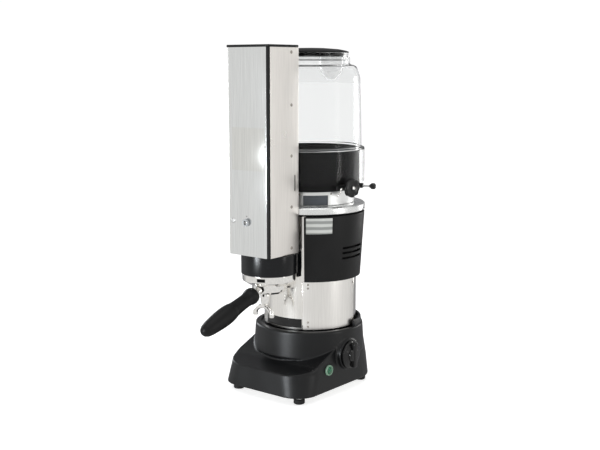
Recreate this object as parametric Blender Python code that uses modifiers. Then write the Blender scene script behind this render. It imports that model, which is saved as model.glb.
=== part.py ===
"""Burr coffee grinder with an auger tamper: base, motor column, hopper, filling tower and portafilter.

Dimensions are in millimetres and turned into metres by the helpers. +Z is up and the user stands on
the -Y side. Everything is drawn about the grinder's vertical axis, then set with the middle of its
overall box on the floor at the world origin.
"""

import math

import bmesh
import bpy
from mathutils import Matrix, Vector

MM = 0.001
GAP = 0.3  # between pieces that touch on the real machine

# ---- driving dimensions -------------------------------------------------------------------------
FOOT_HEIGHT, FOOT_RADIUS = 14.7, 10.0
FOOT_X, FOOT_FRONT_Y, FOOT_REAR_Y = 71.0, -121.4, 62.0
BASE_BOTTOM, BASE_TOP = 14.0, 117.0
BASE_LEVELS = (  # height, half width, front, rear, front and rear corner radius
    (BASE_BOTTOM, 97.5, -149.0, 97.0, 41.0, 69.0),
    (52.0, 95.0, -143.5, 97.0, 50.0, 74.0),
    (BASE_TOP + 3, 93.0, -140.0, 90.0, 52.0, 86.0),
)
DECK = ((-170, 50.5), (-147, 51.5), (-143, 52.5), (-118, 57), (-106, 60), (-97, 64.5), (-85, 70),
        (-72, 75.5), (-60, 80.5), (-45, 87), (-25, 95))  # height from front to rear, as (y, z)
DRUM_Y, DRUM_TOP_RADIUS, DRUM_LOW_RADIUS, DRUM_LOW_Z = -4.0, 99.5, 102.2, 71.5
BASE_WALL = 4.0
KNOB_Y, KNOB_Z, KNOB_FACE_X, KNOB_RADIUS = -16.4, 71.3, 104.5, 25.5
LAMP_Y, LAMP_Z, LAMP_FACE_X = -69.3, 52.4, 95.9
GLAND_Y, GLAND_Z = 94.5, 34.0

COLUMN_RADIUS, COLUMN_WALL, COLUMN_TOP = 84.5, 2.0, 326.7
PANEL_TOP, PANEL_THICKNESS = 205.5, 1.2
PANEL_FRONT_DEG, PANEL_REAR_DEG = -62.0, 14.5
COVER_BOTTOM, COVER_TOP = 206.0, 324.0
COVER_LOW_RADIUS, COVER_TOP_RADIUS, COVER_WALL = 92.0, 99.2, 3.0
COVER_FRONT_DEG = -58.8
VENT_Z, VENT_HEIGHT, VENT_DEG = (265.0, 256.0, 246.5), 4.0, (-15.0, 21.0)
PLATE_LOW, PLATE_HIGH, PLATE_DEG = 293.5, 321.5, (-56.5, -29.0)

FLANGE_BOTTOM, FLANGE_TOP, FLANGE_RADIUS = 327.0, 340.5, 99.7
CHAMBER_TOP, CHAMBER_RADIUS, CHAMBER_BORE = 366.7, 80.0, 70.0
COLLAR_BOTTOM, COLLAR_TOP, COLLAR_RADIUS = 367.0, 439.0, 89.8
THROAT_RADIUS = 21.0
HOPPER_LIP_Z, HOPPER_LIP_RADIUS = 600.5, 70.5
HOPPER_RADIUS, HOPPER_WALL, SKIRT_BOTTOM, SKIRT_RADIUS = 92.3, 2.2, 379.0, 98.4
LID_TOP, LID_RADIUS = 617.5, 68.5

TOWER_HALF_WIDTH, TOWER_FRONT_Y, TOWER_BACK_Y = 45.5, -171.0, -91.0
TOWER_BOTTOM, TOWER_TOP = 261.0, 620.0
SHEET, CAP_THICKNESS, CORNER = 1.2, 3.0, 4.7
DIAL_X, DIAL_Z, DIAL_HOLE = -4.4, 319.6, 2.6
SCREW_Y, SCREW_Z = -158.0, 403.9

GROUP_Y = -117.0
GROUP_RADIUS, GROUP_BOTTOM, GROUP_TOP, APRON_BOTTOM = 50.0, 225.0, 260.5, 213.0
RING_RADIUS, RING_EDGE, RING_BOTTOM, RING_LIP_RADIUS = 48.4, 212.6, 206.0, 37.0
BOWL_RADIUS, BOWL_BORE, BOWL_BOTTOM, BOWL_TOP = 31.0, 27.2, 189.6, 217.8
EAR_REACH = 35.6
HANDLE_START, HANDLE_DROP_DEG, HANDLE_LENGTH = (0, -157.4, 193.0), 18.7, 138.0
SPOUT_Y, SPOUT_BOSS_Y, SPOUT_HALF, SPOUT_RADIUS = -134.0, -129.0, 19.0, 4.2

SHAFT_RADIUS = 8.0
BURR_RADIUS, BURR_BORE = 32.0, 16.0
ADJUST_DEG, ADJUST_Z, ADJUST_KNOB_RADIUS = -10.5, 373.6, 17.0
GATE_DEG, GATE_Z, GATE_HALF_WIDTH = 20.0, 371.6, 24.0
AUGER_TOP, TUBE_RADIUS, TUBE_WALL = 482.0, 21.5, 2.0

ROUND, SMALL_ROUND = 38, 18

# ---- scene, collections and materials -----------------------------------------------------------
for old in list(bpy.data.objects):
    bpy.data.objects.remove(old, do_unlink=True)

PARTS = bpy.data.collections.new("burr_coffee_grinder")
CUTTERS = bpy.data.collections.new("cutters")
for group in (PARTS, CUTTERS):
    bpy.context.scene.collection.children.link(group)
CUTTERS.hide_render = True

machine = bpy.data.objects.new("machine_reference", None)
PARTS.objects.link(machine)


def make_material(name, colour, roughness, metallic=0.0, alpha=1.0):
    material = bpy.data.materials.new(name)
    material.use_nodes = True
    shader = material.node_tree.nodes["Principled BSDF"]
    shader.inputs["Base Color"].default_value = (*colour, 1.0)
    shader.inputs["Roughness"].default_value = roughness
    shader.inputs["Metallic"].default_value = metallic
    shader.inputs["Alpha"].default_value = alpha
    return material


POLISHED = make_material("polished_steel", (0.86, 0.85, 0.83), 0.14, 1.0)
BRUSHED = make_material("brushed_steel", (0.74, 0.73, 0.71), 0.34, 1.0)
CAST = make_material("cast_aluminium", (0.72, 0.73, 0.73), 0.38, 1.0)
CHROME = make_material("chrome", (0.90, 0.90, 0.90), 0.08, 1.0)
PAINT = make_material("black_paint", (0.022, 0.023, 0.025), 0.45)
PLASTIC = make_material("black_plastic", (0.015, 0.015, 0.016), 0.36)
GLOSS = make_material("gloss_black", (0.010, 0.010, 0.011), 0.16)
CLEAR = make_material("clear_plastic", (0.93, 0.94, 0.96), 0.05, 0.0, 0.25)
RUBBER = make_material("rubber", (0.012, 0.012, 0.012), 0.7)
LAMP = make_material("green_lens", (0.02, 0.30, 0.12), 0.2)
STEEL = make_material("tool_steel", (0.52, 0.52, 0.53), 0.35, 1.0)
COPPER = make_material("winding_iron", (0.30, 0.17, 0.10), 0.5, 0.6)
GREY = make_material("grey_plastic", (0.35, 0.36, 0.37), 0.5)


# ---- shape helpers ------------------------------------------------------------------------------
def place(obj, collection, material=None, parent=machine):
    for user in list(obj.users_collection):
        user.objects.unlink(obj)
    collection.objects.link(obj)
    if parent is not None:
        obj.parent = parent
    if material is not None:
        obj.data.materials.clear()
        obj.data.materials.append(material)
    if collection is CUTTERS:
        obj.hide_render = True
        obj.display_type = "WIRE"
    return obj


def mesh_object(name, vertices, edges, faces):
    mesh = bpy.data.meshes.new(name)
    mesh.from_pydata([tuple(c * MM for c in v) for v in vertices], edges, faces)
    return bpy.data.objects.new(name, mesh)


def axis_frame(origin, direction):
    """Rotation and location that turn local +Z onto direction, at origin."""
    turn = Vector((0, 0, 1)).rotation_difference(Vector(direction).normalized())
    return turn.to_euler(), [c * MM for c in origin]


def turned(name, profile, material=None, centre=(0, 0, 0), axis=(0, 0, 1), closed=False,
           steps=ROUND, collection=PARTS, parent=machine):
    """A profile of (radius, height) points, outer side from top to bottom, turned about its axis."""
    count = len(profile)
    edges = [(i, i + 1) for i in range(count - 1)]
    if closed:
        edges.append((count - 1, 0))
    obj = mesh_object(name, [(r, 0, z) for r, z in profile], edges, [])
    screw = obj.modifiers.new("Screw", "SCREW")
    screw.angle = math.tau
    screw.steps = screw.render_steps = steps
    screw.use_merge_vertices = True
    screw.merge_threshold = 0.00001
    screw.use_normal_calculate = False
    screw.use_smooth_shade = True
    obj.rotation_euler, obj.location = axis_frame(centre, axis)
    return place(obj, collection, material, parent)


def cylinder(name, radius, low, high, material=None, centre=(0, 0), **more):
    profile = [(0, high), (radius, high), (radius, low), (0, low)]
    return turned(name, profile, material, (*centre, 0), **more)


def rod(name, radius, start, direction, length, material=None, **more):
    profile = [(0, length), (radius, length), (radius, 0), (0, 0)]
    more.setdefault("steps", SMALL_ROUND)
    return turned(name, profile, material, start, direction, **more)


def ring(name, outer, inner, low, high, material=None, centre=(0, 0), **more):
    profile = [(outer, high), (outer, low), (inner, low), (inner, high)]
    return turned(name, profile, material, (*centre, 0), closed=True, **more)


def box(name, low, high, material=None, collection=PARTS, parent=machine, turn_deg=0.0):
    """A block given by two corners, turned about the vertical axis by turn_deg."""
    mesh = bpy.data.meshes.new(name)
    work = bmesh.new()
    bmesh.ops.create_cube(work, size=1.0)
    size = [(b - a) * MM for a, b in zip(low, high)]
    middle = [(a + b) / 2 * MM for a, b in zip(low, high)]
    bmesh.ops.scale(work, vec=size, verts=work.verts)
    bmesh.ops.translate(work, vec=middle, verts=work.verts)
    work.to_mesh(mesh)
    work.free()
    obj = bpy.data.objects.new(name, mesh)
    obj.rotation_euler = (0, 0, math.radians(turn_deg))
    return place(obj, collection, material, parent)


def boolean(obj, other, operation="DIFFERENCE"):
    modifier = obj.modifiers.new(operation.title(), "BOOLEAN")
    modifier.operation = operation
    modifier.object = other
    modifier.solver = "EXACT"
    if other.name not in CUTTERS.objects:
        place(other, CUTTERS, parent=None)
        other.parent = obj.parent
    return obj


def bevel(obj, width, segments=2, angle=35):
    modifier = obj.modifiers.new("Bevel", "BEVEL")
    modifier.width = width * MM
    modifier.segments = segments
    modifier.limit_method = "ANGLE"
    modifier.angle_limit = math.radians(angle)
    return obj


def sector(name, low_radius, top_radius, low, high, start_deg, end_deg, thickness,
           material=None, collection=PARTS, parent=machine, step_deg=7.0):
    """A curved plate: part of a cone about the machine's axis, thickened inwards."""
    obj = mesh_object(name, [(top_radius, 0, high), (low_radius, 0, low)], [(0, 1)], [])
    screw = obj.modifiers.new("Screw", "SCREW")
    screw.angle = math.radians(end_deg - start_deg)
    screw.steps = screw.render_steps = max(2, round((end_deg - start_deg) / step_deg))
    screw.use_merge_vertices = False
    screw.use_normal_calculate = False
    screw.use_smooth_shade = True
    shell = obj.modifiers.new("Solidify", "SOLIDIFY")
    shell.thickness = thickness * MM
    shell.offset = -1.0
    obj.rotation_euler = (0, 0, math.radians(start_deg))
    return place(obj, collection, material, parent)


def rounded_outline(half_width, front, rear, front_radius, rear_radius, arc_points=5):
    """Corner arcs of a rectangle seen from above, anticlockwise from the rear right corner."""
    corners = (
        (half_width - rear_radius, rear - rear_radius, rear_radius, 0),
        (-half_width + rear_radius, rear - rear_radius, rear_radius, 90),
        (-half_width + front_radius, front + front_radius, front_radius, 180),
        (half_width - front_radius, front + front_radius, front_radius, 270),
    )
    points = []
    for x, y, radius, start in corners:
        for k in range(arc_points):
            angle = math.radians(start + 90 * k / (arc_points - 1))
            points.append((x + radius * math.cos(angle), y + radius * math.sin(angle)))
    return points


def loft(name, sections, material=None, collection=PARTS):
    """Joins outlines of equal point counts, each given with its height, lowest first."""
    count = len(sections[0][1])
    vertices = [(x, y, z) for z, outline in sections for x, y in outline]
    faces = [tuple(range(count - 1, -1, -1))]
    faces.append(tuple(range(len(vertices) - count, len(vertices))))
    for level in range(len(sections) - 1):
        for k in range(count):
            a, b = level * count + k, level * count + (k + 1) % count
            faces.append((a, b, b + count))
            faces.append((a, b + count, a + count))
    return place(mesh_object(name, vertices, [], faces), collection, material)


def tube(name, points, radius, material=None, collection=PARTS, parent=machine, resolution=2):
    """A round bar along a list of points, closed at both ends, as a mesh."""
    curve = bpy.data.curves.new(name, "CURVE")
    curve.dimensions = "3D"
    curve.bevel_depth = radius * MM
    curve.bevel_resolution = resolution
    curve.use_fill_caps = True
    spline = curve.splines.new("POLY")
    spline.points.add(len(points) - 1)
    for point, place_at in zip(spline.points, points):
        point.co = (*[c * MM for c in place_at], 1)
    guide = bpy.data.objects.new(name + "_path", curve)
    bpy.context.scene.collection.objects.link(guide)
    bpy.context.view_layer.update()
    graph = bpy.context.evaluated_depsgraph_get()
    mesh = bpy.data.meshes.new_from_object(guide.evaluated_get(graph))
    bpy.data.objects.remove(guide, do_unlink=True)
    work = bmesh.new()
    work.from_mesh(mesh)
    bmesh.ops.remove_doubles(work, verts=work.verts, dist=0.00001)
    bmesh.ops.recalc_face_normals(work, faces=work.faces)
    work.to_mesh(mesh)
    work.free()
    mesh.name = name
    return place(bpy.data.objects.new(name, mesh), collection, material, parent)


def pivot(name, origin):
    """An empty on a joint's axis, which the joint's pieces are parented to."""
    empty = bpy.data.objects.new(name, None)
    PARTS.objects.link(empty)
    empty.parent = machine
    empty.location = [c * MM for c in origin]
    return empty


def hang(obj, empty):
    """Parents a piece drawn in machine coordinates to a pivot without moving it."""
    obj.parent = empty
    obj.matrix_parent_inverse = Matrix.Translation(-Vector(empty.location))
    return obj


def around(deg, radius):
    angle = math.radians(deg)
    return radius * math.cos(angle), radius * math.sin(angle)


# ---- base ---------------------------------------------------------------------------------------
def base_levels(inset, low, high):
    """The base's rounded plan at each height, moved inwards by inset, from low to high."""
    levels = []
    for z, half, front, rear, front_radius, rear_radius in BASE_LEVELS:
        levels.append((z, rounded_outline(half - inset, front + inset, rear - inset,
                                          front_radius - inset, rear_radius - inset)))
    levels[0] = (low, levels[0][1])
    levels[-1] = (high, levels[-1][1])
    return levels


def deck_form(name, drop, low):
    """What lies under the deck: its side profile, drawn right across the base."""
    outline = [(y, z - drop) for y, z in DECK] + [(130, DECK[-1][1] - drop), (130, low),
                                                  (DECK[0][0], low)]
    count = len(outline)
    vertices = [(x, y, z) for x in (-130, 130) for y, z in outline]
    faces = [tuple(range(count)), tuple(range(2 * count - 1, count - 1, -1))]
    for k in range(count):
        a, b = k, (k + 1) % count
        faces.append((b, a, a + count, b + count))
    return place(mesh_object(name, vertices, [], faces), CUTTERS)


def build_base():
    housing = loft("base_housing", base_levels(0, BASE_BOTTOM, BASE_TOP + 3), PAINT)
    boolean(housing, deck_form("deck_form", 0, BASE_BOTTOM - 10), "INTERSECT")
    drum = turned("drum_form", [
        (0, BASE_TOP), (DRUM_TOP_RADIUS - 2, BASE_TOP), (DRUM_TOP_RADIUS, BASE_TOP - 2),
        (DRUM_LOW_RADIUS, DRUM_LOW_Z), (DRUM_LOW_RADIUS - 0.4, DRUM_LOW_Z - 2), (98, 66),
        (93, 22), (0, 22)],
        centre=(0, DRUM_Y, 0), collection=CUTTERS)
    boolean(housing, drum, "UNION")
    knob_boss = rod("knob_boss_form", KNOB_RADIUS + 2, (80, KNOB_Y, KNOB_Z), (1, 0, 0),
                    KNOB_FACE_X - 1.2 - 80, collection=CUTTERS)
    boolean(housing, knob_boss, "UNION")
    lamp_boss = rod("lamp_boss_form", 10.5, (80, LAMP_Y, LAMP_Z), (1, 0, 0),
                    LAMP_FACE_X - GAP - 80, collection=CUTTERS)
    boolean(housing, lamp_boss, "UNION")
    hollow = loft("base_hollow_form",
                  base_levels(BASE_WALL, BASE_BOTTOM - 6, BASE_TOP - BASE_WALL),
                  collection=CUTTERS)
    boolean(hollow, deck_form("under_deck_form", BASE_WALL, BASE_BOTTOM - 20), "INTERSECT")
    boolean(housing, hollow)
    boolean(housing, turned("drum_hollow_form", [
        (0, BASE_TOP - BASE_WALL), (DRUM_TOP_RADIUS - BASE_WALL - 1, BASE_TOP - BASE_WALL),
        (DRUM_LOW_RADIUS - BASE_WALL - 1, DRUM_LOW_Z), (92.5, 65), (87, 27), (0, 27)],
        centre=(0, DRUM_Y, 0), collection=CUTTERS))
    boolean(housing, cylinder("wiring_hole_form", 24, 100, 130, collection=CUTTERS, steps=24))
    boolean(housing, rod("switch_hole_form", 4, (70, KNOB_Y, KNOB_Z), (1, 0, 0), 40,
                         collection=CUTTERS, steps=20))
    boolean(housing, rod("lamp_hole_form", 6.6, (70, LAMP_Y, LAMP_Z), (1, 0, 0), 40,
                         collection=CUTTERS, steps=20))
    boolean(housing, rod("gland_hole_form", 8.4, (0, 60, GLAND_Z), (0, 1, 0), 60,
                         collection=CUTTERS, steps=20))
    sector("rear_cowl", 94.5, 93, BASE_TOP + 1, BASE_TOP + 10.5, 8, 172, 5, PAINT, step_deg=8)

    plate_inset = 6
    outline = base_levels(plate_inset, BASE_BOTTOM, BASE_TOP)[0][1]
    loft("base_plate", [(15.0, outline), (17.0, outline)], BRUSHED)
    for side, x in (("left", -FOOT_X), ("right", FOOT_X)):
        for end, y in (("front", FOOT_FRONT_Y), ("rear", FOOT_REAR_Y)):
            turned(f"foot_{end}_{side}", [
                (0, FOOT_HEIGHT), (FOOT_RADIUS - 2, FOOT_HEIGHT), (FOOT_RADIUS - 1, 9.5),
                (FOOT_RADIUS, 8.5), (FOOT_RADIUS, 1.5), (FOOT_RADIUS - 1.5, 0), (0, 0)],
                RUBBER, (x, y, 0), steps=SMALL_ROUND)

    switch_half = 13
    switch = box("rotary_switch", (52, KNOB_Y - switch_half, KNOB_Z - switch_half),
                 (88, KNOB_Y + switch_half, KNOB_Z + switch_half), GREY)
    boolean(switch, rod("switch_bore_form", 3.6, (66, KNOB_Y, KNOB_Z), (1, 0, 0), 30,
                        collection=CUTTERS))
    turned("pilot_lamp_bezel", [(8.2, 3.6), (9.5, 2.4), (9.5, 0), (6.9, 0), (6.9, 3.6)], CHROME,
           (LAMP_FACE_X, LAMP_Y, LAMP_Z), (1, 0, 0), closed=True, steps=24)
    turned("pilot_lamp_lens", [(0, 12.2), (3.6, 11.6), (6.2, 9.8), (6.2, 0), (0, 0)], LAMP,
           (LAMP_FACE_X - 7, LAMP_Y, LAMP_Z), (1, 0, 0), steps=SMALL_ROUND)
    rod("run_capacitor", 19, (-48, -30, 48), (0, 1, 0), 78, GREY)
    turned("cord_gland", [(7.0, 20), (8.0, 18), (12.5, 8), (12.5, 3), (8.1, 3), (8.1, -7),
                          (4.2, -7), (4.2, 20)], PLASTIC, (0, GLAND_Y, GLAND_Z), (0, 1, 0),
           closed=True, steps=SMALL_ROUND)


# ---- motor column -------------------------------------------------------------------------------
def build_column():
    ring("column_tube", COLUMN_RADIUS, COLUMN_RADIUS - COLUMN_WALL, BASE_TOP + GAP, COLUMN_TOP,
         POLISHED)
    outer = COLUMN_RADIUS + GAP + PANEL_THICKNESS
    for side, start, end in (("right", PANEL_FRONT_DEG, PANEL_REAR_DEG),
                             ("left", 180 - PANEL_REAR_DEG, 180 - PANEL_FRONT_DEG)):
        sector(f"column_panel_{side}", outer, outer, BASE_TOP + 1, PANEL_TOP, start, end,
               PANEL_THICKNESS, BRUSHED)
    cover = sector("mid_cover", COVER_LOW_RADIUS, COVER_TOP_RADIUS, COVER_BOTTOM, COVER_TOP,
                   COVER_FRONT_DEG, 180 - COVER_FRONT_DEG, COVER_WALL, PLASTIC)
    for number, z in enumerate(VENT_Z):
        for side, start in (("right", VENT_DEG[0]), ("left", 180 - VENT_DEG[1])):
            slot = sector(f"vent_{side}_{number}_form", 104, 104, z - VENT_HEIGHT / 2,
                          z + VENT_HEIGHT / 2, start, start + VENT_DEG[1] - VENT_DEG[0], 16,
                          collection=CUTTERS, step_deg=6)
            boolean(cover, slot)

    slope = (COVER_TOP_RADIUS - COVER_LOW_RADIUS) / (COVER_TOP - COVER_BOTTOM)
    plate_low = COVER_LOW_RADIUS + slope * (PLATE_LOW - COVER_BOTTOM) + GAP + 0.8
    sector("rating_plate", plate_low, plate_low + slope * (PLATE_HIGH - PLATE_LOW), PLATE_LOW,
           PLATE_HIGH, *PLATE_DEG, 0.8, BRUSHED)

    bore = COLUMN_RADIUS - COLUMN_WALL - 2 * GAP
    ring("motor_stator", 70, 41, 160, 250, COPPER, steps=28)
    for name, low in (("motor_lower_bracket", 134), ("motor_upper_bracket", 262)):
        turned(name, [(bore, low + 10), (bore, low), (30, low), (24, low - 5), (11, low - 5),
                      (11, low - 2), (18, low - 2), (18, low + 10)], CAST, closed=True, steps=28)
    for name, low in (("lower_bearing", 134), ("upper_bearing", 262)):
        ring(name, 18 - GAP, SHAFT_RADIUS + GAP, low - 2 + GAP, low + 8, STEEL, steps=24)
    return turned("rotor", [
        (0, 349.6), (11, 349.6), (36, 349.6), (36, 346), (SHAFT_RADIUS, 346),
        (SHAFT_RADIUS, 304), (14, 304), (14, 296), (62, 296), (62, 292), (14, 292), (14, 288),
        (SHAFT_RADIUS, 288), (SHAFT_RADIUS, 248), (40, 248), (40, 162), (SHAFT_RADIUS, 162),
        (SHAFT_RADIUS, 124), (0, 124)], STEEL, steps=24)


# ---- grinding head ------------------------------------------------------------------------------
def build_grinding_head():
    flange = turned("top_flange", [
        (FLANGE_RADIUS - 1.5, FLANGE_TOP), (FLANGE_RADIUS, FLANGE_TOP - 1.5),
        (FLANGE_RADIUS, FLANGE_BOTTOM + 1), (FLANGE_RADIUS - 1, FLANGE_BOTTOM),
        (12, FLANGE_BOTTOM), (12, FLANGE_TOP)], CAST, closed=True)
    boolean(flange, cylinder("tube_notch_form", TUBE_RADIUS + 0.7, 320, 345, centre=(0, GROUP_Y),
                             collection=CUTTERS, steps=32))
    chamber = turned("grinding_chamber", [
        (CHAMBER_RADIUS, CHAMBER_TOP), (CHAMBER_RADIUS, FLANGE_TOP + GAP), (12, FLANGE_TOP + GAP),
        (12, 344), (CHAMBER_BORE, 344), (CHAMBER_BORE, CHAMBER_TOP)], CAST, closed=True)
    boolean(chamber, box("chamber_exit_form", (-13, -86, 345), (13, -60, 360),
                         collection=CUTTERS))
    boolean(chamber, sector("chamber_window_form", 84, 84, 344.6, 352, -60, -29, 18,
                            collection=CUTTERS, step_deg=5))
    chute = box("chute", (-15, -109, 343.3), (15, -81, 361.7), CAST)
    boolean(chute, box("chute_bore_form", (-13, -114, 345.3), (13, -70, 359.7),
                       collection=CUTTERS))
    boolean(chute, cylinder("chute_end_form", TUBE_RADIUS + GAP, 330, 380, centre=(0, GROUP_Y),
                            collection=CUTTERS))

    ring("lower_burr", BURR_RADIUS, BURR_BORE, 349.9, 354.9, STEEL, steps=28)
    ring_pieces = (
        ring("upper_burr", BURR_RADIUS, BURR_BORE + 3, 355.7, 360.7, STEEL, steps=28),
        turned("adjust_ring", [(68, 367.2), (68, 361), (22, 361), (22, 368.9), (25, 368.9),
                               (25, 367.2)], CAST, closed=True, steps=28),
    )

    cone_low, cone_top = 374.6, 436.0
    collar = turned("hopper_collar", [
        (COLLAR_RADIUS - 1, COLLAR_TOP), (COLLAR_RADIUS, COLLAR_TOP - 1),
        (COLLAR_RADIUS, COLLAR_BOTTOM), (72, COLLAR_BOTTOM), (72, COLLAR_BOTTOM + 2.5),
        (COLLAR_RADIUS - 2.5, COLLAR_BOTTOM + 2.5), (COLLAR_RADIUS - 2.5, cone_top - 4),
        (THROAT_RADIUS + 3, cone_low), (THROAT_RADIUS, cone_low), (THROAT_RADIUS, cone_low + 2.5),
        (COLLAR_RADIUS - 4.5, COLLAR_TOP)], PLASTIC, closed=True)
    for name, deg, z, near, half, low, high in (
            ("adjust_block_form", ADJUST_DEG, ADJUST_Z, 87, 9, -5.5, 5),
            ("gate_guide_form", GATE_DEG, GATE_Z, 87, 5, -4, 5)):
        boolean(collar, box(name, (near, -half, z + low), (99.5, half, z + high),
                            collection=CUTTERS, turn_deg=deg), "UNION")
    for name, deg, z, radius in (("adjust_bore_form", ADJUST_DEG, ADJUST_Z, 4.0),
                                 ("gate_bore_form", GATE_DEG, GATE_Z, 2.1)):
        start, way = around(deg, 84), around(deg, 1)
        boolean(collar, rod(name, radius, (*start, z), (*way, 0), 20, collection=CUTTERS))
    return ring_pieces


def build_adjust_knob():
    way = (*around(ADJUST_DEG, 1), 0)
    start = (*around(ADJUST_DEG, 60), ADJUST_Z)
    spindle = turned("adjust_pinion_shaft", [
        (0, 42), (3.6, 42), (3.6, 8.5), (6.0, 8.5), (6.0, 0), (0, 0)], CHROME, start, way,
        steps=SMALL_ROUND)
    knob = turned("adjust_knob", [
        (0, 12.5), (5.0, 12.5), (6.0, 11.0), (ADJUST_KNOB_RADIUS - 3, 11.5),
        (ADJUST_KNOB_RADIUS - 0.6, 10.0), (ADJUST_KNOB_RADIUS, 8.5), (ADJUST_KNOB_RADIUS, 4.0),
        (ADJUST_KNOB_RADIUS - 1.5, 2.5), (8, 1.5), (8, 0), (0, 0)], GLOSS,
        (*around(ADJUST_DEG, 102.3), ADJUST_Z), way, steps=32)
    for number in range(8):
        angle = math.radians(45 * number + 22.5)
        reach = ADJUST_KNOB_RADIUS + 3.2
        scallop = rod(f"knob_scallop_{number}_form", 4.6,
                      (reach * math.cos(angle), reach * math.sin(angle), -3), (0, 0, 1), 20,
                      collection=CUTTERS, steps=10)
        scallop.parent = knob
        cut = knob.modifiers.new("Scallop", "BOOLEAN")
        cut.object = scallop
        cut.solver = "EXACT"
    return spindle, knob


def build_gate():
    half = GATE_HALF_WIDTH
    slide = box("gate_slide", (-half, -half, GATE_Z - 1), (half, half, GATE_Z + 1), STEEL,
                turn_deg=GATE_DEG)
    way = (*around(GATE_DEG, 1), 0)
    arm = rod("gate_arm_form", 1.8, (*around(GATE_DEG, half - 4), GATE_Z), way, 111.5 - half + 4,
              collection=CUTTERS, steps=12)
    boolean(slide, arm, "UNION")
    radius = 5.6
    dome = [(radius * math.sin(math.radians(a)), radius * (1 - math.cos(math.radians(180 - a))))
            for a in range(30, 151, 30)]
    profile = [(0, 2 * radius)] + dome + [(0, 0)]
    knob = turned("gate_knob", profile, GLOSS, (*around(GATE_DEG, 111.8), GATE_Z), way,
                  steps=20)
    return slide, knob


# ---- hopper -------------------------------------------------------------------------------------
def shoulder_points(offset, count=4):
    """Quarter ellipse from the neck's foot out to the hopper's side, moved inwards by offset."""
    neck, side, top, low = HOPPER_LIP_RADIUS, 88.8, 588.0, 566.0
    points = []
    for k in range(count + 1):
        angle = math.radians(90 - 90 * k / count)
        points.append((neck + (side - neck) * math.cos(angle) - offset,
                       low + (top - low) * math.sin(angle) - offset))
    return points


def build_hopper():
    wall = HOPPER_WALL
    foot, ledge = COLLAR_RADIUS - 1.4, COLLAR_TOP + GAP
    outer = [(HOPPER_LIP_RADIUS, HOPPER_LIP_Z)] + shoulder_points(0) + [
        (91.3, 506), (HOPPER_RADIUS, 442.5), (SKIRT_RADIUS - 1.2, 440.5), (SKIRT_RADIUS, 437.5),
        (SKIRT_RADIUS, SKIRT_BOTTOM)]
    inner = [(HOPPER_LIP_RADIUS - wall, HOPPER_LIP_Z)] + shoulder_points(wall) + [
        (91.3 - wall, 506), (HOPPER_RADIUS - wall, 446), (foot, 443), (foot, ledge),
        (COLLAR_RADIUS + 0.6, ledge), (COLLAR_RADIUS + 0.6, 437), (SKIRT_RADIUS - wall, 436),
        (SKIRT_RADIUS - wall, SKIRT_BOTTOM)]
    shell = turned("hopper_shell", outer + inner[::-1], CLEAR, closed=True)
    lid = turned("hopper_lid", [
        (0, LID_TOP), (30, LID_TOP - 0.8), (54, LID_TOP - 3.2), (LID_RADIUS - 1, LID_TOP - 6.5),
        (LID_RADIUS, LID_TOP - 8), (LID_RADIUS + 1.2, HOPPER_LIP_Z + GAP),
        (66, HOPPER_LIP_Z + GAP), (66, 592), (63, 592), (63, 606), (0, 610)], PLASTIC)
    return shell, lid


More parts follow.
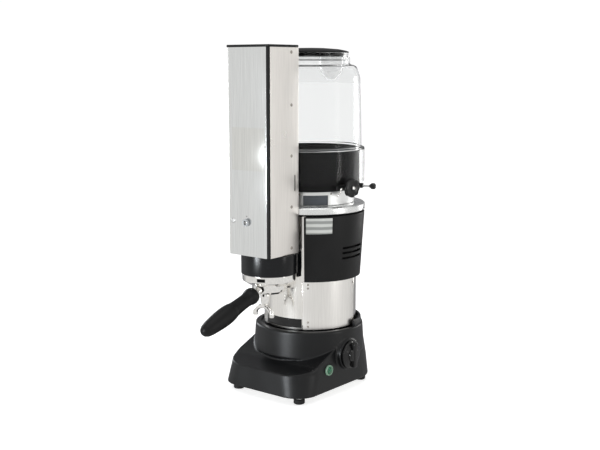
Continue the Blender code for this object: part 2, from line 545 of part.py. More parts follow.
# ---- filling tower ------------------------------------------------------------------------------
def build_tower():
    half, top, low = TOWER_HALF_WIDTH, TOWER_TOP - CAP_THICKNESS - GAP, TOWER_BOTTOM
    front, back = TOWER_FRONT_Y, TOWER_BACK_Y
    panel = box("tower_front_panel", (-half + SHEET + GAP, front, low),
                (half - CORNER - GAP, front + SHEET, top), POLISHED)
    boolean(panel, rod("dial_hole_form", DIAL_HOLE, (DIAL_X, front - 5, DIAL_Z), (0, 1, 0), 12,
                       collection=CUTTERS))
    for side, sign, trim_width in (("right", 1, CORNER), ("left", -1, SHEET)):
        edges = sorted((sign * (half - SHEET), sign * half))
        plate = box(f"tower_side_{side}", (edges[0], front + CORNER + GAP, low),
                    (edges[1], back, top), BRUSHED)
        boolean(plate, box(f"side_slot_{side}_form", (edges[0] - 4, -103.2, 371.5),
                           (edges[1] + 4, -100.4, 399), collection=CUTTERS))
        trim = sorted((sign * (half - trim_width), sign * half))
        box(f"corner_trim_{side}", (trim[0], front, low), (trim[1], front + CORNER, top),
            PLASTIC)
        if side == "left":
            boolean(plate, rod("side_hole_form", DIAL_HOLE, (edges[0] - 6, SCREW_Y, SCREW_Z),
                               (1, 0, 0), 12, collection=CUTTERS))
    cap = box("tower_cap", (-half, front, TOWER_TOP - CAP_THICKNESS), (half, back - 1.6, TOWER_TOP),
              PLASTIC)
    bevel(cap, 1.2, 2)
    box("tower_back_plate", (-half + SHEET + GAP, -101.7, 376), (half - SHEET - GAP, -100.5, top),
        BRUSHED)

    bracket = box("motor_bracket", (-half + SHEET + GAP, -165.9, 466),
                  (half - SHEET - GAP, -102.2, 469.6), BRUSHED)
    boolean(bracket, cylinder("spring_seat_form", 14, 455, 467, centre=(0, GROUP_Y),
                              collection=CUTTERS, steps=32), "UNION")
    boolean(bracket, cylinder("bracket_bore_form", 6.5, 440, 480, centre=(0, GROUP_Y),
                              collection=CUTTERS, steps=24))
    gearbox = box("auger_gearbox", (-32, -167, 470), (32, -103.5, 505), CAST)
    boolean(gearbox, cylinder("gearbox_bore_form", 6.5, 460, 490, centre=(0, GROUP_Y),
                              collection=CUTTERS, steps=24))
    cylinder("auger_motor", 29, 505.3, 588, STEEL, centre=(0, -135.3), steps=40)
    floor = box("tower_floor", (-half + SHEET + GAP, -165.9, low + 1.2),
                (half - SHEET - GAP, -92.5, low + 2.7), BRUSHED)
    boolean(floor, cylinder("floor_bore_form", TUBE_RADIUS + 0.7, low - 5, low + 8, centre=(0, GROUP_Y),
                            collection=CUTTERS))
    pipe = ring("auger_tube", TUBE_RADIUS, TUBE_RADIUS - TUBE_WALL, 252, 372, STEEL,
                centre=(0, GROUP_Y), steps=32)
    boolean(pipe, box("auger_inlet_form", (-13, -110, 345.3), (13, -90, 359.7),
                      collection=CUTTERS))


def build_group():
    room_radius, puck_radius, socket_radius = RING_RADIUS + GAP, 28, TUBE_RADIUS + 0.5
    housing = cylinder("group_housing", GROUP_RADIUS, APRON_BOTTOM, GROUP_TOP, PAINT,
                       centre=(0, GROUP_Y))
    boolean(housing, box("saddle_form", (-42, GROUP_Y, GROUP_BOTTOM), (42, -74, GROUP_TOP),
                         collection=CUTTERS), "UNION")
    boolean(housing, box("apron_front_form", (-60, -180, 200),
                         (60, GROUP_Y + 12, GROUP_BOTTOM), collection=CUTTERS))
    boolean(housing, cylinder("collar_room_form", room_radius, 200, GROUP_BOTTOM - 0.1,
                              centre=(0, GROUP_Y), collection=CUTTERS))
    boolean(housing, cylinder("column_clearance_form", COLUMN_RADIUS + 0.8, 180, 280,
                              collection=CUTTERS))
    boolean(housing, cylinder("puck_chamber_form", puck_radius, 200, 250, centre=(0, GROUP_Y),
                              collection=CUTTERS, steps=48))
    boolean(housing, cylinder("tube_socket_form", socket_radius, 240, 280, centre=(0, GROUP_Y),
                              collection=CUTTERS, steps=40))

    bore, slot_radius, slot_low, slot_high = BOWL_RADIUS + 0.9, EAR_REACH + 1, 210.6, 219.8
    collar = turned("group_collar", [
        (RING_RADIUS, GROUP_BOTTOM - GAP), (RING_RADIUS - 0.2, RING_EDGE + 0.6),
        (RING_RADIUS - 0.9, RING_EDGE - 0.2), (RING_LIP_RADIUS, RING_BOTTOM), (bore, RING_BOTTOM),
        (bore, slot_low), (slot_radius, slot_low), (slot_radius, slot_high), (bore, slot_high),
        (bore, GROUP_BOTTOM - GAP)], CHROME, (0, GROUP_Y, 0), closed=True)
    boolean(collar, cylinder("ring_clearance_form", COLUMN_RADIUS + 1.7, 180, 280,
                             collection=CUTTERS))
    boolean(collar, box("ring_gap_form", (-25, -100, 190), (25, -60, 240), collection=CUTTERS))
    for name, deg, low, high, near, half in (
            ("ear_entry_front_form", -45, 200, slot_low + 0.9, 25, 8.5),
            ("ear_entry_rear_form", 135, 200, slot_low + 0.9, 25, 8.5),
            ("lock_window_form", -67.5, 215.8, 221.6, 42, 7.4)):
        entry = box(name, (near, -half, low), (60, half, high), collection=CUTTERS,
                    turn_deg=deg)
        entry.location = (0, GROUP_Y * MM, 0)
        boolean(collar, entry)


def helix(name, shaft, radius, low, turns, pitch, material, parent):
    """A screw flight: a ribbon that winds round its shaft, closed at both ends."""
    per_turn, thickness = 16, 1.6
    vertices, faces = [], []
    count = round(turns * per_turn)
    for k in range(count + 1):
        angle = math.tau * k / per_turn
        z = low + pitch * k / per_turn
        for r, dz in ((shaft, 0), (radius, 0), (radius, thickness), (shaft, thickness)):
            vertices.append((r * math.cos(angle), GROUP_Y + r * math.sin(angle), z + dz))
    for k in range(count):
        for side in range(4):
            a, b = 4 * k + side, 4 * k + (side + 1) % 4
            faces.append((a, a + 4, b + 4, b))
    faces.append((0, 1, 2, 3))
    last = 4 * count
    faces.append((last + 3, last + 2, last + 1, last))
    return place(mesh_object(name, vertices, [], faces), PARTS, material, parent)


def build_auger():
    shaft = turned("auger_shaft", [
        (0, AUGER_TOP), (6, AUGER_TOP), (6, 409.4), (14, 409.4), (14, 404), (6, 404), (6, 242),
        (25.2, 238), (25.2, 230), (18, 227.5), (0, 227.5)], STEEL, (0, GROUP_Y, 0), steps=28)
    flight = helix("auger_flight", 6.3, 18.8, 262, 3.5, 24, STEEL, machine)
    coil = []
    turns, per_turn, low, high, radius = 4.5, 10, 411.2, 453.2, 10.5
    for k in range(round(turns * per_turn) + 1):
        angle = math.tau * k / per_turn
        coil.append((radius * math.cos(angle), GROUP_Y + radius * math.sin(angle),
                     low + (high - low) * k / (turns * per_turn)))
    tube("tamp_spring", coil, 1.4, STEEL, resolution=1)
    return shaft, flight


# ---- portafilter --------------------------------------------------------------------------------
def build_portafilter():
    middle = (0, GROUP_Y, 0)
    head = turned("portafilter_head", [
        (0, BOWL_TOP), (BOWL_RADIUS - 0.3, BOWL_TOP), (BOWL_RADIUS - 0.3, 207),
        (BOWL_RADIUS, 206.4), (BOWL_RADIUS, 197.5), (29.6, 193.6), (26.8, 190.6),
        (25.4, BOWL_BOTTOM), (0, BOWL_BOTTOM)], CHROME, middle)
    for side, sign in (("right", 1), ("left", -1)):
        edges = sorted((sign * (BOWL_BORE - 1), sign * EAR_REACH))
        ear = box(f"ear_{side}_form", (edges[0], GROUP_Y - 7, 211.6),
                  (edges[1], GROUP_Y + 7, 217.0), collection=CUTTERS)
        boolean(head, ear, "UNION")
    drop = math.radians(HANDLE_DROP_DEG)
    way = (0, -math.cos(drop), -math.sin(drop))
    neck_length = 14.0
    neck_start = [c - neck_length * w for c, w in zip(HANDLE_START, way)]
    neck = turned("neck_form", [(0, neck_length), (8, neck_length), (7, 0), (0, 0)],
                  None, neck_start, way, steps=SMALL_ROUND, collection=CUTTERS)
    boolean(head, neck, "UNION")
    boolean(head, cylinder("basket_room_form", BOWL_BORE, 193, 230, centre=(0, GROUP_Y),
                           collection=CUTTERS, steps=36))
    boolean(head, cylinder("outlet_form", 5, 180, 200, centre=(0, SPOUT_BOSS_Y),
                           collection=CUTTERS, steps=16))

    outer, inner = BOWL_BORE - 0.4, BOWL_BORE - 1.4
    basket = turned("filter_basket", [
        (30.2, 219.4), (30.2, 218.1), (outer, 218.1), (outer - 0.4, 194.2), (0, 194.2),
        (0, 195.2), (inner - 0.4, 195.2), (inner, 219.4)], STEEL, middle, closed=True, steps=36)

    foot_z, spring_z, rise, points = 148.4, 152.0, 14.6, 9
    arch = [(-SPOUT_HALF, SPOUT_Y, foot_z)]
    for k in range(points):
        angle = math.pi * k / (points - 1)
        arch.append((-SPOUT_HALF * math.cos(angle), SPOUT_Y, spring_z + rise * math.sin(angle)))
    arch.append((SPOUT_HALF, SPOUT_Y, foot_z))
    spout = tube("portafilter_spout", arch, SPOUT_RADIUS, CHROME, resolution=2)
    boss = cylinder("spout_boss_form", 8.5, 165, BOWL_BOTTOM - GAP, centre=(0, SPOUT_BOSS_Y),
                    collection=CUTTERS, steps=24)
    boolean(spout, boss, "UNION")

    length = HANDLE_LENGTH
    start = [c + GAP * w for c, w in zip(HANDLE_START, way)]
    handle = turned("portafilter_handle", [
        (0, length), (4.5, length - 0.8), (8, length - 3.5), (11.2, length - 9), (13, 121),
        (14.6, 107), (15.7, 94), (16.1, 82), (15.9, 74), (15, 65), (13.3, 58), (12.6, 48),
        (12.1, 36), (12, 26), (12.7, 19), (14.4, 14), (14.8, 9), (14.2, 5), (12.6, 1.5),
        (10.8, 0), (0, 0)], PLASTIC, start, way, steps=24)
    return head, basket, spout, handle


# ---- knobs --------------------------------------------------------------------------------------
def build_power_knob():
    dial = turned("power_knob", [
        (0, 14), (11, 14), (12, 13), (12, 6), (KNOB_RADIUS - 1.5, 4.5), (KNOB_RADIUS, 3),
        (KNOB_RADIUS, 0), (3.2, 0),
        (3.2, -28), (0, -28)], GLOSS, (KNOB_FACE_X, KNOB_Y, KNOB_Z), (1, 0, 0), steps=32)
    reach = KNOB_RADIUS - 2
    bar = box("knob_bar_form", (KNOB_FACE_X + 2, KNOB_Y - 5, KNOB_Z - reach),
              (KNOB_FACE_X + 14, KNOB_Y + 5, KNOB_Z + reach), collection=CUTTERS)
    return boolean(dial, bar, "UNION")


def build_small_knobs():
    dial = turned("tamp_dial", [
        (0, 6), (5.2, 6), (6.5, 5), (6.5, 0.5), (2.2, 0.5), (2.2, -9), (0, -9)], GLOSS,
        (DIAL_X, TOWER_FRONT_Y, DIAL_Z), (0, -1, 0), steps=24)
    screw = turned("side_thumbscrew", [
        (0, 7.5), (3.6, 7.5), (4.6, 6.5), (4.6, 0.5), (2.2, 0.5), (2.2, -9), (0, -9)], GLOSS,
        (-TOWER_HALF_WIDTH, SCREW_Y, SCREW_Z), (-1, 0, 0), steps=20)
    return dial, screw


# ---- assembly -----------------------------------------------------------------------------------
def stand_on_origin():
    """Moves the machine so that the middle of its box stands on the world origin."""
    bpy.context.view_layer.update()
    graph = bpy.context.evaluated_depsgraph_get()
    low, high = [math.inf] * 3, [-math.inf] * 3
    for obj in PARTS.objects:
        if obj.type == "MESH":
            seen = obj.evaluated_get(graph)
            shape = seen.to_mesh()
            for vertex in shape.vertices:
                place_at = seen.matrix_world @ vertex.co
                low = [min(a, b) for a, b in zip(low, place_at)]
                high = [max(a, b) for a, b in zip(high, place_at)]
            seen.to_mesh_clear()
    machine.location = (-(low[0] + high[0]) / 2, -(low[1] + high[1]) / 2, -low[2])
    print("machine reference at", [round(c / MM, 3) for c in machine.location])


def smooth_round_pieces():
    for obj in PARTS.objects:
        if obj.type == "MESH" and obj.data.polygons:
            obj.data.shade_smooth()
            obj.data.set_sharp_from_angle(angle=math.radians(35))


build_base()
rotor = build_column()
burr_ring = build_grinding_head()
adjuster = build_adjust_knob()
gate = build_gate()
shell, lid = build_hopper()
build_tower()
build_group()
auger_pieces = build_auger()
portafilter = build_portafilter()
power_knob = build_power_knob()
tamp_dial, thumbscrew = build_small_knobs()

JOINTS = (
    ("rotor_axis", (0, 0, 0), (rotor, bpy.data.objects["lower_burr"])),
    ("adjust_ring_axis", (0, 0, 0), burr_ring),
    ("adjust_knob_axis", (*around(ADJUST_DEG, 102.3), ADJUST_Z), adjuster),
    ("gate_axis", (*around(GATE_DEG, 111.8), GATE_Z), gate),
    ("hopper_axis", (0, 0, HOPPER_LIP_Z), (shell,)),
    ("lid_axis", (0, 0, LID_TOP), (lid,)),
    ("auger_axis", (0, GROUP_Y, 0), auger_pieces),
    ("portafilter_axis", (0, GROUP_Y, 0), portafilter),
    ("power_knob_axis", (KNOB_FACE_X, KNOB_Y, KNOB_Z), (power_knob,)),
    ("tamp_dial_axis", (DIAL_X, TOWER_FRONT_Y, DIAL_Z), (tamp_dial,)),
    ("thumbscrew_axis", (-TOWER_HALF_WIDTH, SCREW_Y, SCREW_Z), (thumbscrew,)),
)
for joint_name, joint_origin, pieces in JOINTS:
    empty = pivot(joint_name, joint_origin)
    for piece in pieces:
        hang(piece, empty)
smooth_round_pieces()
stand_on_origin()
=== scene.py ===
"""Looks of the burr coffee grinder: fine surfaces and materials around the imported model.

Lengths in the shape helpers are millimetres from the motor column's axis at floor level, and
angles are measured from +X. The front of the machine, with the portafilter, faces -Y.
"""

import math

import bmesh
import bpy
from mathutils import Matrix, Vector


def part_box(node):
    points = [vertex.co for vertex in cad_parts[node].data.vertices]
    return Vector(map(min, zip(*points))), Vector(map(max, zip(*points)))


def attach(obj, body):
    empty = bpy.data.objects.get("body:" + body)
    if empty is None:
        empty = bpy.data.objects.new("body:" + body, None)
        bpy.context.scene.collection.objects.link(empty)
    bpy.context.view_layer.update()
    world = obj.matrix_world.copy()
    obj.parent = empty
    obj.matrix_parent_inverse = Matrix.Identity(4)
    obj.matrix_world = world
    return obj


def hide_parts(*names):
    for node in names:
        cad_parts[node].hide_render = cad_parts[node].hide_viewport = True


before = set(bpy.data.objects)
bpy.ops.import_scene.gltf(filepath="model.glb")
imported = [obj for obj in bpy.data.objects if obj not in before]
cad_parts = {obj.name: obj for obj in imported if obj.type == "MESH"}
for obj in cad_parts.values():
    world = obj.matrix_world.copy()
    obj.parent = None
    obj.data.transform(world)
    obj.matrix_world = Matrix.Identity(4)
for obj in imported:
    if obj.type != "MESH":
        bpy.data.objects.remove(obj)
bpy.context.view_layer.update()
MM = 0.001

ring_low, ring_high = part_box("top_flange")
AXIS = Vector(((ring_low.x + ring_high.x) / 2, (ring_low.y + ring_high.y) / 2, 0))


def span(node):
    """A CAD node's box in millimetres from the column's axis, as (low, high)."""
    return tuple((corner - AXIS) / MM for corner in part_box(node))


# ---- sizes read from the frame ------------------------------------------------------------------
BASE_LOW, BASE_HIGH = span("base_housing")
SIDE_HIGH = span("tower_side_right")[1]
PANEL_LOW, PANEL_HIGH = span("tower_front_panel")
GROUP_HIGH = span("group_housing")[1]
COLLAR_LOW, COLLAR_HIGH = span("hopper_collar")
SHELL_LOW, SHELL_HIGH = span("hopper_shell")
COVER_HIGH = span("mid_cover")[1]
TUBE_LOW, TUBE_HIGH = span("column_tube")
FLANGE_LOW, FLANGE_HIGH = span("top_flange")
CHAMBER_LOW, CHAMBER_HIGH = span("grinding_chamber")
KNOB_LOW, KNOB_HIGH = span("power_knob")

TOWER_HALF = SIDE_HIGH.x
TOWER_FRONT, TOWER_BACK = PANEL_LOW.y, SIDE_HIGH.y
TOWER_BOTTOM, TOWER_TOP = PANEL_LOW.z, span("tower_cap")[1].z
GROUP_Y = (span("auger_tube")[0].y + span("auger_tube")[1].y) / 2
GROUP_RADIUS = GROUP_HIGH.x
COLLAR_RADIUS = -COLLAR_LOW.x
SKIRT_RADIUS = SHELL_HIGH.x
KNOB_FACE, KNOB_Y = KNOB_LOW.x + 28.0, (KNOB_LOW.y + KNOB_HIGH.y) / 2
KNOB_Z = (KNOB_LOW.z + KNOB_HIGH.z) / 2
TUBE_RADIUS = TUBE_HIGH.x
AUGER_ROOM = 22.6
BASE_TOP = BASE_HIGH.z
FLANGE_RADIUS = FLANGE_HIGH.x
GROUP_BOTTOM, RING_RADIUS, SPOUT_Y, BOSS_Y = 225.0, 48.4, -134.0, -129.0
ADJUST_DEG, GATE_DEG = -10.5, 20.0


# ---- materials ----------------------------------------------------------------------------------
def node_material(name):
    material = bpy.data.materials.new(name)
    material.use_nodes = True
    tree = material.node_tree
    return material, tree, tree.nodes["Principled BSDF"]


def set_up(shader, colour, roughness, metallic=0.0, **more):
    shader.inputs["Base Color"].default_value = (*colour, 1.0)
    shader.inputs["Roughness"].default_value = roughness
    shader.inputs["Metallic"].default_value = metallic
    for key, value in more.items():
        shader.inputs[key.replace("_", " ")].default_value = value


def noise(tree, scale, stretch=(1, 1, 1), detail=4.0):
    """A noise texture in the object's own metres, drawn out along an axis by a small stretch."""
    place = tree.nodes.new("ShaderNodeTexCoord")
    mapping = tree.nodes.new("ShaderNodeMapping")
    mapping.inputs["Scale"].default_value = stretch
    texture = tree.nodes.new("ShaderNodeTexNoise")
    texture.inputs["Scale"].default_value = scale
    texture.inputs["Detail"].default_value = detail
    tree.links.new(place.outputs["Object"], mapping.inputs["Vector"])
    tree.links.new(mapping.outputs["Vector"], texture.inputs["Vector"])
    return texture.outputs["Fac"]


def ranged(tree, value, low, high):
    """Spreads a noise value over low to high."""
    node = tree.nodes.new("ShaderNodeMapRange")
    node.inputs["From Min"].default_value = 0.3
    node.inputs["From Max"].default_value = 0.7
    node.inputs["To Min"].default_value = low
    node.inputs["To Max"].default_value = high
    tree.links.new(value, node.inputs["Value"])
    return node.outputs["Result"]


def tinted(tree, value, dark, light):
    ramp = tree.nodes.new("ShaderNodeValToRGB")
    ramp.color_ramp.elements[0].position = 0.3
    ramp.color_ramp.elements[1].position = 0.7
    ramp.color_ramp.elements[0].color = (*dark, 1)
    ramp.color_ramp.elements[1].color = (*light, 1)
    tree.links.new(value, ramp.inputs["Fac"])
    return ramp.outputs["Color"]


def add_bump(tree, shader, value, strength, distance=0.0002):
    bump = tree.nodes.new("ShaderNodeBump")
    bump.inputs["Strength"].default_value = strength
    bump.inputs["Distance"].default_value = distance
    tree.links.new(value, bump.inputs["Height"])
    tree.links.new(bump.outputs["Normal"], shader.inputs["Normal"])


def scaled(colour, share):
    return tuple(c * share for c in colour)


def coated(name, colour, roughness, grain=1400, strength=0.12, specular=0.35, spread=0.06):
    """Powder coat or moulded plastic: a fine grain, with slight unevenness in gloss and colour."""
    material, tree, shader = node_material(name)
    set_up(shader, colour, roughness, Specular_IOR_Level=specular)
    cloud = noise(tree, 18, detail=3)
    tree.links.new(ranged(tree, cloud, roughness - spread, roughness + spread),
                   shader.inputs["Roughness"])
    tree.links.new(tinted(tree, cloud, scaled(colour, 0.88), scaled(colour, 1.12)),
                   shader.inputs["Base Color"])
    add_bump(tree, shader, noise(tree, grain, detail=2), strength)
    return material


def brushed(name, colour, roughness, along=(1, 1, 0.02), strength=0.10, scale=900, spread=0.05):
    """Metal with fine parallel scratches, drawn out along the axis with the small stretch."""
    material, tree, shader = node_material(name)
    set_up(shader, colour, roughness, 1.0)
    lines = noise(tree, scale, along, 6)
    cloud = noise(tree, 9, detail=2)
    tree.links.new(tinted(tree, lines, scaled(colour, 0.93), scaled(colour, 1.05)),
                   shader.inputs["Base Color"])
    tree.links.new(ranged(tree, cloud, roughness - spread, roughness + spread),
                   shader.inputs["Roughness"])
    add_bump(tree, shader, lines, strength, 0.0001)
    return material


def cast_metal(name, colour, roughness):
    material, tree, shader = node_material(name)
    set_up(shader, colour, roughness, 1.0)
    grain = noise(tree, 700, detail=5)
    cloud = noise(tree, 25, detail=3)
    tree.links.new(tinted(tree, cloud, scaled(colour, 0.9), scaled(colour, 1.06)),
                   shader.inputs["Base Color"])
    tree.links.new(ranged(tree, grain, roughness - 0.05, roughness + 0.08),
                   shader.inputs["Roughness"])
    add_bump(tree, shader, grain, 0.15)
    return material


def clear_plastic(name, colour, roughness, transmission, ior):
    material, tree, shader = node_material(name)
    set_up(shader, colour, roughness, Transmission_Weight=transmission, IOR=ior)
    smears = noise(tree, 12, (1, 1, 0.3), 3)
    tree.links.new(ranged(tree, smears, 0.4 * roughness, 1.4 * roughness),
                   shader.inputs["Roughness"])
    return material


PAINT = coated("satin_black_paint", (0.0042, 0.0045, 0.0050), 0.36, specular=0.30)
HOUSING = coated("group_black_paint", (0.0040, 0.0043, 0.0050), 0.22, specular=0.26)
PLASTIC = coated("black_moulding", (0.0085, 0.0085, 0.0087), 0.42, grain=2200, specular=0.16)
COLLAR = coated("collar_black", (0.0060, 0.0060, 0.0062), 0.36, grain=2200, specular=0.10)
GRIP = coated("handle_black", (0.0060, 0.0060, 0.0062), 0.40, grain=1800, specular=0.18)
GLOSS = coated("gloss_black", (0.0040, 0.0040, 0.0042), 0.15, grain=900, strength=0.02,
               specular=0.4, spread=0.03)
RUBBER = coated("foot_rubber", (0.010, 0.010, 0.010), 0.65, grain=1500, strength=0.3,
                specular=0.25)
GREY = coated("grey_moulding", (0.33, 0.34, 0.35), 0.5)
SLEEVE = coated("capacitor_sleeve", (0.30, 0.31, 0.32), 0.35)
FRONT = brushed("tower_front_steel", (0.86, 0.87, 0.865), 0.15)
SIDE = brushed("tower_side_steel", (0.94, 0.905, 0.865), 0.30)
WRAP = brushed("wrap_panel_steel", (0.92, 0.90, 0.87), 0.33, strength=0.06)
POLISHED = brushed("polished_column_steel", (0.93, 0.91, 0.875), 0.17, strength=0.015,
                   spread=0.02)
INNER = brushed("plain_sheet_steel", (0.62, 0.62, 0.61), 0.42)
CHROME = brushed("bright_chrome", (0.94, 0.925, 0.90), 0.08, (1, 1, 1), 0.01, 300, 0.02)
CAST = cast_metal("machined_aluminium", (0.90, 0.905, 0.90), 0.26)
CHAMBER = cast_metal("chamber_aluminium", (0.90, 0.905, 0.90), 0.36)
TOOL = brushed("ground_tool_steel", (0.60, 0.60, 0.60), 0.32, (1, 1, 0.2))
WINDING = coated("winding_varnish", (0.24, 0.11, 0.05), 0.4, grain=500, strength=0.5)
SCREW = brushed("screw_steel", (0.42, 0.39, 0.35), 0.35, (1, 1, 1), 0.05)
CLEAR = clear_plastic("clear_polycarbonate", (0.88, 0.885, 0.885), 0.03, 1.0, 1.14)
FROSTED = clear_plastic("milky_polycarbonate", (0.98, 0.98, 0.98), 0.06, 0.93, 1.22)
SMOKE = coated("smoked_window", (0.055, 0.062, 0.075), 0.12, strength=0.01, specular=0.6)
BADGE = brushed("blank_badge_foil", (0.84, 0.84, 0.815), 0.18, strength=0.03)
# Flat black for painted shade in gaps, slots and vents, and for the printed index dot.
SHADE_AND_MARK_BLACK = coated("painted_shade_and_mark_black", (0.004, 0.004, 0.004), 0.7, specular=0.1)


def label_foil():
    """A blank rating plate: silver foil with plain grey bands and no writing."""
    material, tree, shader = node_material("blank_label_foil")
    set_up(shader, (0.70, 0.71, 0.70), 0.38, 0.25)
    place = tree.nodes.new("ShaderNodeTexCoord")
    wave = tree.nodes.new("ShaderNodeTexWave")
    wave.bands_direction = "Z"
    wave.inputs["Scale"].default_value = 30
    wave.inputs["Distortion"].default_value = 0.6
    tree.links.new(place.outputs["Object"], wave.inputs["Vector"])
    tree.links.new(tinted(tree, wave.outputs["Fac"], (0.24, 0.25, 0.24), (0.50, 0.51, 0.49)),
                   shader.inputs["Base Color"])
    return material


def lamp_glass():
    material, tree, shader = node_material("green_lamp_lens")
    set_up(shader, (0.01, 0.22, 0.10), 0.18, Specular_IOR_Level=0.6)
    cells = tree.nodes.new("ShaderNodeTexVoronoi")
    cells.inputs["Scale"].default_value = 420
    place = tree.nodes.new("ShaderNodeTexCoord")
    tree.links.new(place.outputs["Object"], cells.inputs["Vector"])
    tree.links.new(tinted(tree, cells.outputs["Distance"], (0.001, 0.035, 0.014),
                          (0.010, 0.17, 0.075)), shader.inputs["Base Color"])
    add_bump(tree, shader, cells.outputs["Distance"], 0.4, 0.0004)
    return material


LABEL = label_foil()
LENS = lamp_glass()
LAMP_RING = coated("lamp_ring_pale_green", (0.20, 0.33, 0.24), 0.30, strength=0.02)


# ---- shape helpers ------------------------------------------------------------------------------
def finished(obj, material, body="frame", replaces=(), sharp_deg=32):
    """Gives a piece its material, smooth shading and body, and hides the CAD nodes that it stands for."""
    obj.data.materials.clear()
    obj.data.materials.append(material)
    if obj.type == "MESH":
        obj.data.shade_smooth()
        obj.data.set_sharp_from_angle(angle=math.radians(sharp_deg))
    if obj.name not in bpy.context.scene.collection.objects:
        bpy.context.scene.collection.objects.link(obj)
    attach(obj, body)
    if replaces:
        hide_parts(*replaces)
    return obj


def placed(name, work):
    """A mesh object in the scene from a finished bmesh."""
    mesh = bpy.data.meshes.new(name)
    work.to_mesh(mesh)
    work.free()
    obj = bpy.data.objects.new(name, mesh)
    bpy.context.scene.collection.objects.link(obj)
    return obj


def mesh_piece(name, vertices, faces):
    """A mesh object from millimetres about the column's axis, with its faces turned outwards."""
    mesh = bpy.data.meshes.new(name)
    mesh.from_pydata([tuple(AXIS + Vector(v) * MM) for v in vertices], [], faces)
    work = bmesh.new()
    work.from_mesh(mesh)
    bmesh.ops.remove_doubles(work, verts=work.verts, dist=0.000002)
    bmesh.ops.recalc_face_normals(work, faces=work.faces)
    work.to_mesh(mesh)
    work.free()
    obj = bpy.data.objects.new(name, mesh)
    bpy.context.scene.collection.objects.link(obj)
    return obj


def rounded(points, closed=False, steps=4):
    """A polyline with its corners rounded. A point is (a, b) or (a, b, radius)."""
    result = []
    count = len(points)
    for i, point in enumerate(points):
        here = Vector(point[:2])
        radius = point[2] if len(point) > 2 else 0
        at_end = not closed and i in (0, count - 1)
        if radius <= 0 or at_end:
            result.append(tuple(here))
            continue
        before = (Vector(points[i - 1][:2]) - here)
        after = (Vector(points[(i + 1) % count][:2]) - here)
        turn = before.angle(after)
        reach = min(radius / math.tan(turn / 2), before.length * 0.49, after.length * 0.49)
        start, end = here + before.normalized() * reach, here + after.normalized() * reach
        for k in range(steps + 1):
            t = k / steps
            result.append(tuple(start.lerp(here, t).lerp(here.lerp(end, t), t)))
    return result


def frame_on(axis):
    """Two directions square to an axis, and the axis, as unit vectors."""
    up = Vector(axis).normalized()
    side = up.orthogonal().normalized()
    if abs(up.z) > 0.999:
        side = Vector((1, 0, 0))
    return side, up.cross(side), up


def lathe(name, profile, closed=False, centre=(0, 0, 0), axis=(0, 0, 1), segments=112,
          start_deg=0.0, sweep_deg=360.0):
    """Turns (radius, height) points about an axis through centre. A part turn is capped."""
    side, across, up = frame_on(axis)
    base = Vector(centre)
    full = sweep_deg >= 360
    columns = segments if full else segments + 1
    vertices, faces = [], []
    for k in range(columns):
        angle = math.radians(start_deg + sweep_deg * k / segments)
        out = side * math.cos(angle) + across * math.sin(angle)
        vertices += [base + out * r + up * z for r, z in profile]
    count = len(profile)
    edges = count if closed else count - 1
    for k in range(segments):
        here, there = k * count, ((k + 1) % columns) * count
        for i in range(edges):
            j = (i + 1) % count
            faces.append((here + i, here + j, there + j, there + i))
    if not full:
        faces.append(tuple(range(count)))
        faces.append(tuple(range(len(vertices) - 1, len(vertices) - count - 1, -1)))
    work = bmesh.new()
    made = [work.verts.new(AXIS + v * MM) for v in vertices]
    for face in faces:
        corners = [made[i] for i in face]
        if len(set(corners)) > 2:
            try:
                work.faces.new(corners)
            except ValueError:
                continue
    bmesh.ops.remove_doubles(work, verts=work.verts, dist=0.000002)
    bmesh.ops.dissolve_degenerate(work, edges=work.edges, dist=0.0000005)
    bmesh.ops.recalc_face_normals(work, faces=work.faces)
    return placed(name, work)


def turned(name, points, steps=4, **more):
    """A turned shape from a profile with rounded corners."""
    return lathe(name, rounded(points, steps=steps), **more)


def ring(name, points, steps=4, **more):
    """A turned ring from a closed section with rounded corners."""
    return lathe(name, rounded(points, closed=True, steps=steps), closed=True, **more)


def block(name, low, high, radius=0.8, segments=3, turn_deg=0.0, centre=(0, 0, 0)):
    """A block with rounded edges, between two corners, turned about a vertical through centre."""
    work = bmesh.new()
    bmesh.ops.create_cube(work, size=1.0)
    size = [high[i] - low[i] for i in range(3)]
    middle = Vector([(high[i] + low[i]) / 2 for i in range(3)])
    bmesh.ops.scale(work, vec=size, verts=work.verts)
    bmesh.ops.translate(work, vec=middle, verts=work.verts)
    if radius > 0:
        bmesh.ops.bevel(work, geom=work.edges[:], offset=radius, segments=segments,
                        profile=0.5, affect="EDGES", clamp_overlap=True)
    turn = math.radians(turn_deg)
    for vertex in work.verts:
        x, y, z = vertex.co
        vertex.co = Vector((x * math.cos(turn) - y * math.sin(turn),
                            x * math.sin(turn) + y * math.cos(turn), z)) + Vector(centre)
        vertex.co = AXIS + vertex.co * MM
    return placed(name, work)


def soften(obj, width, segments=3, angle=35):
    bevel = obj.modifiers.new("Bevel", "BEVEL")
    bevel.width = width * MM
    bevel.segments = segments
    bevel.limit_method = "ANGLE"
    bevel.angle_limit = math.radians(angle)
    return obj


def combine(obj, other, operation="DIFFERENCE"):
    """Applies a Boolean at once and removes the other shape."""
    modifier = obj.modifiers.new("Boolean", "BOOLEAN")
    modifier.operation = operation
    modifier.object = other
    modifier.solver = "EXACT"
    applied(obj)
    bpy.data.objects.remove(other, do_unlink=True)
    return obj


def applied(obj):
    bpy.context.view_layer.update()
    graph = bpy.context.evaluated_depsgraph_get()
    mesh = bpy.data.meshes.new_from_object(obj.evaluated_get(graph))
    obj.modifiers.clear()
    obj.data = mesh
    return obj


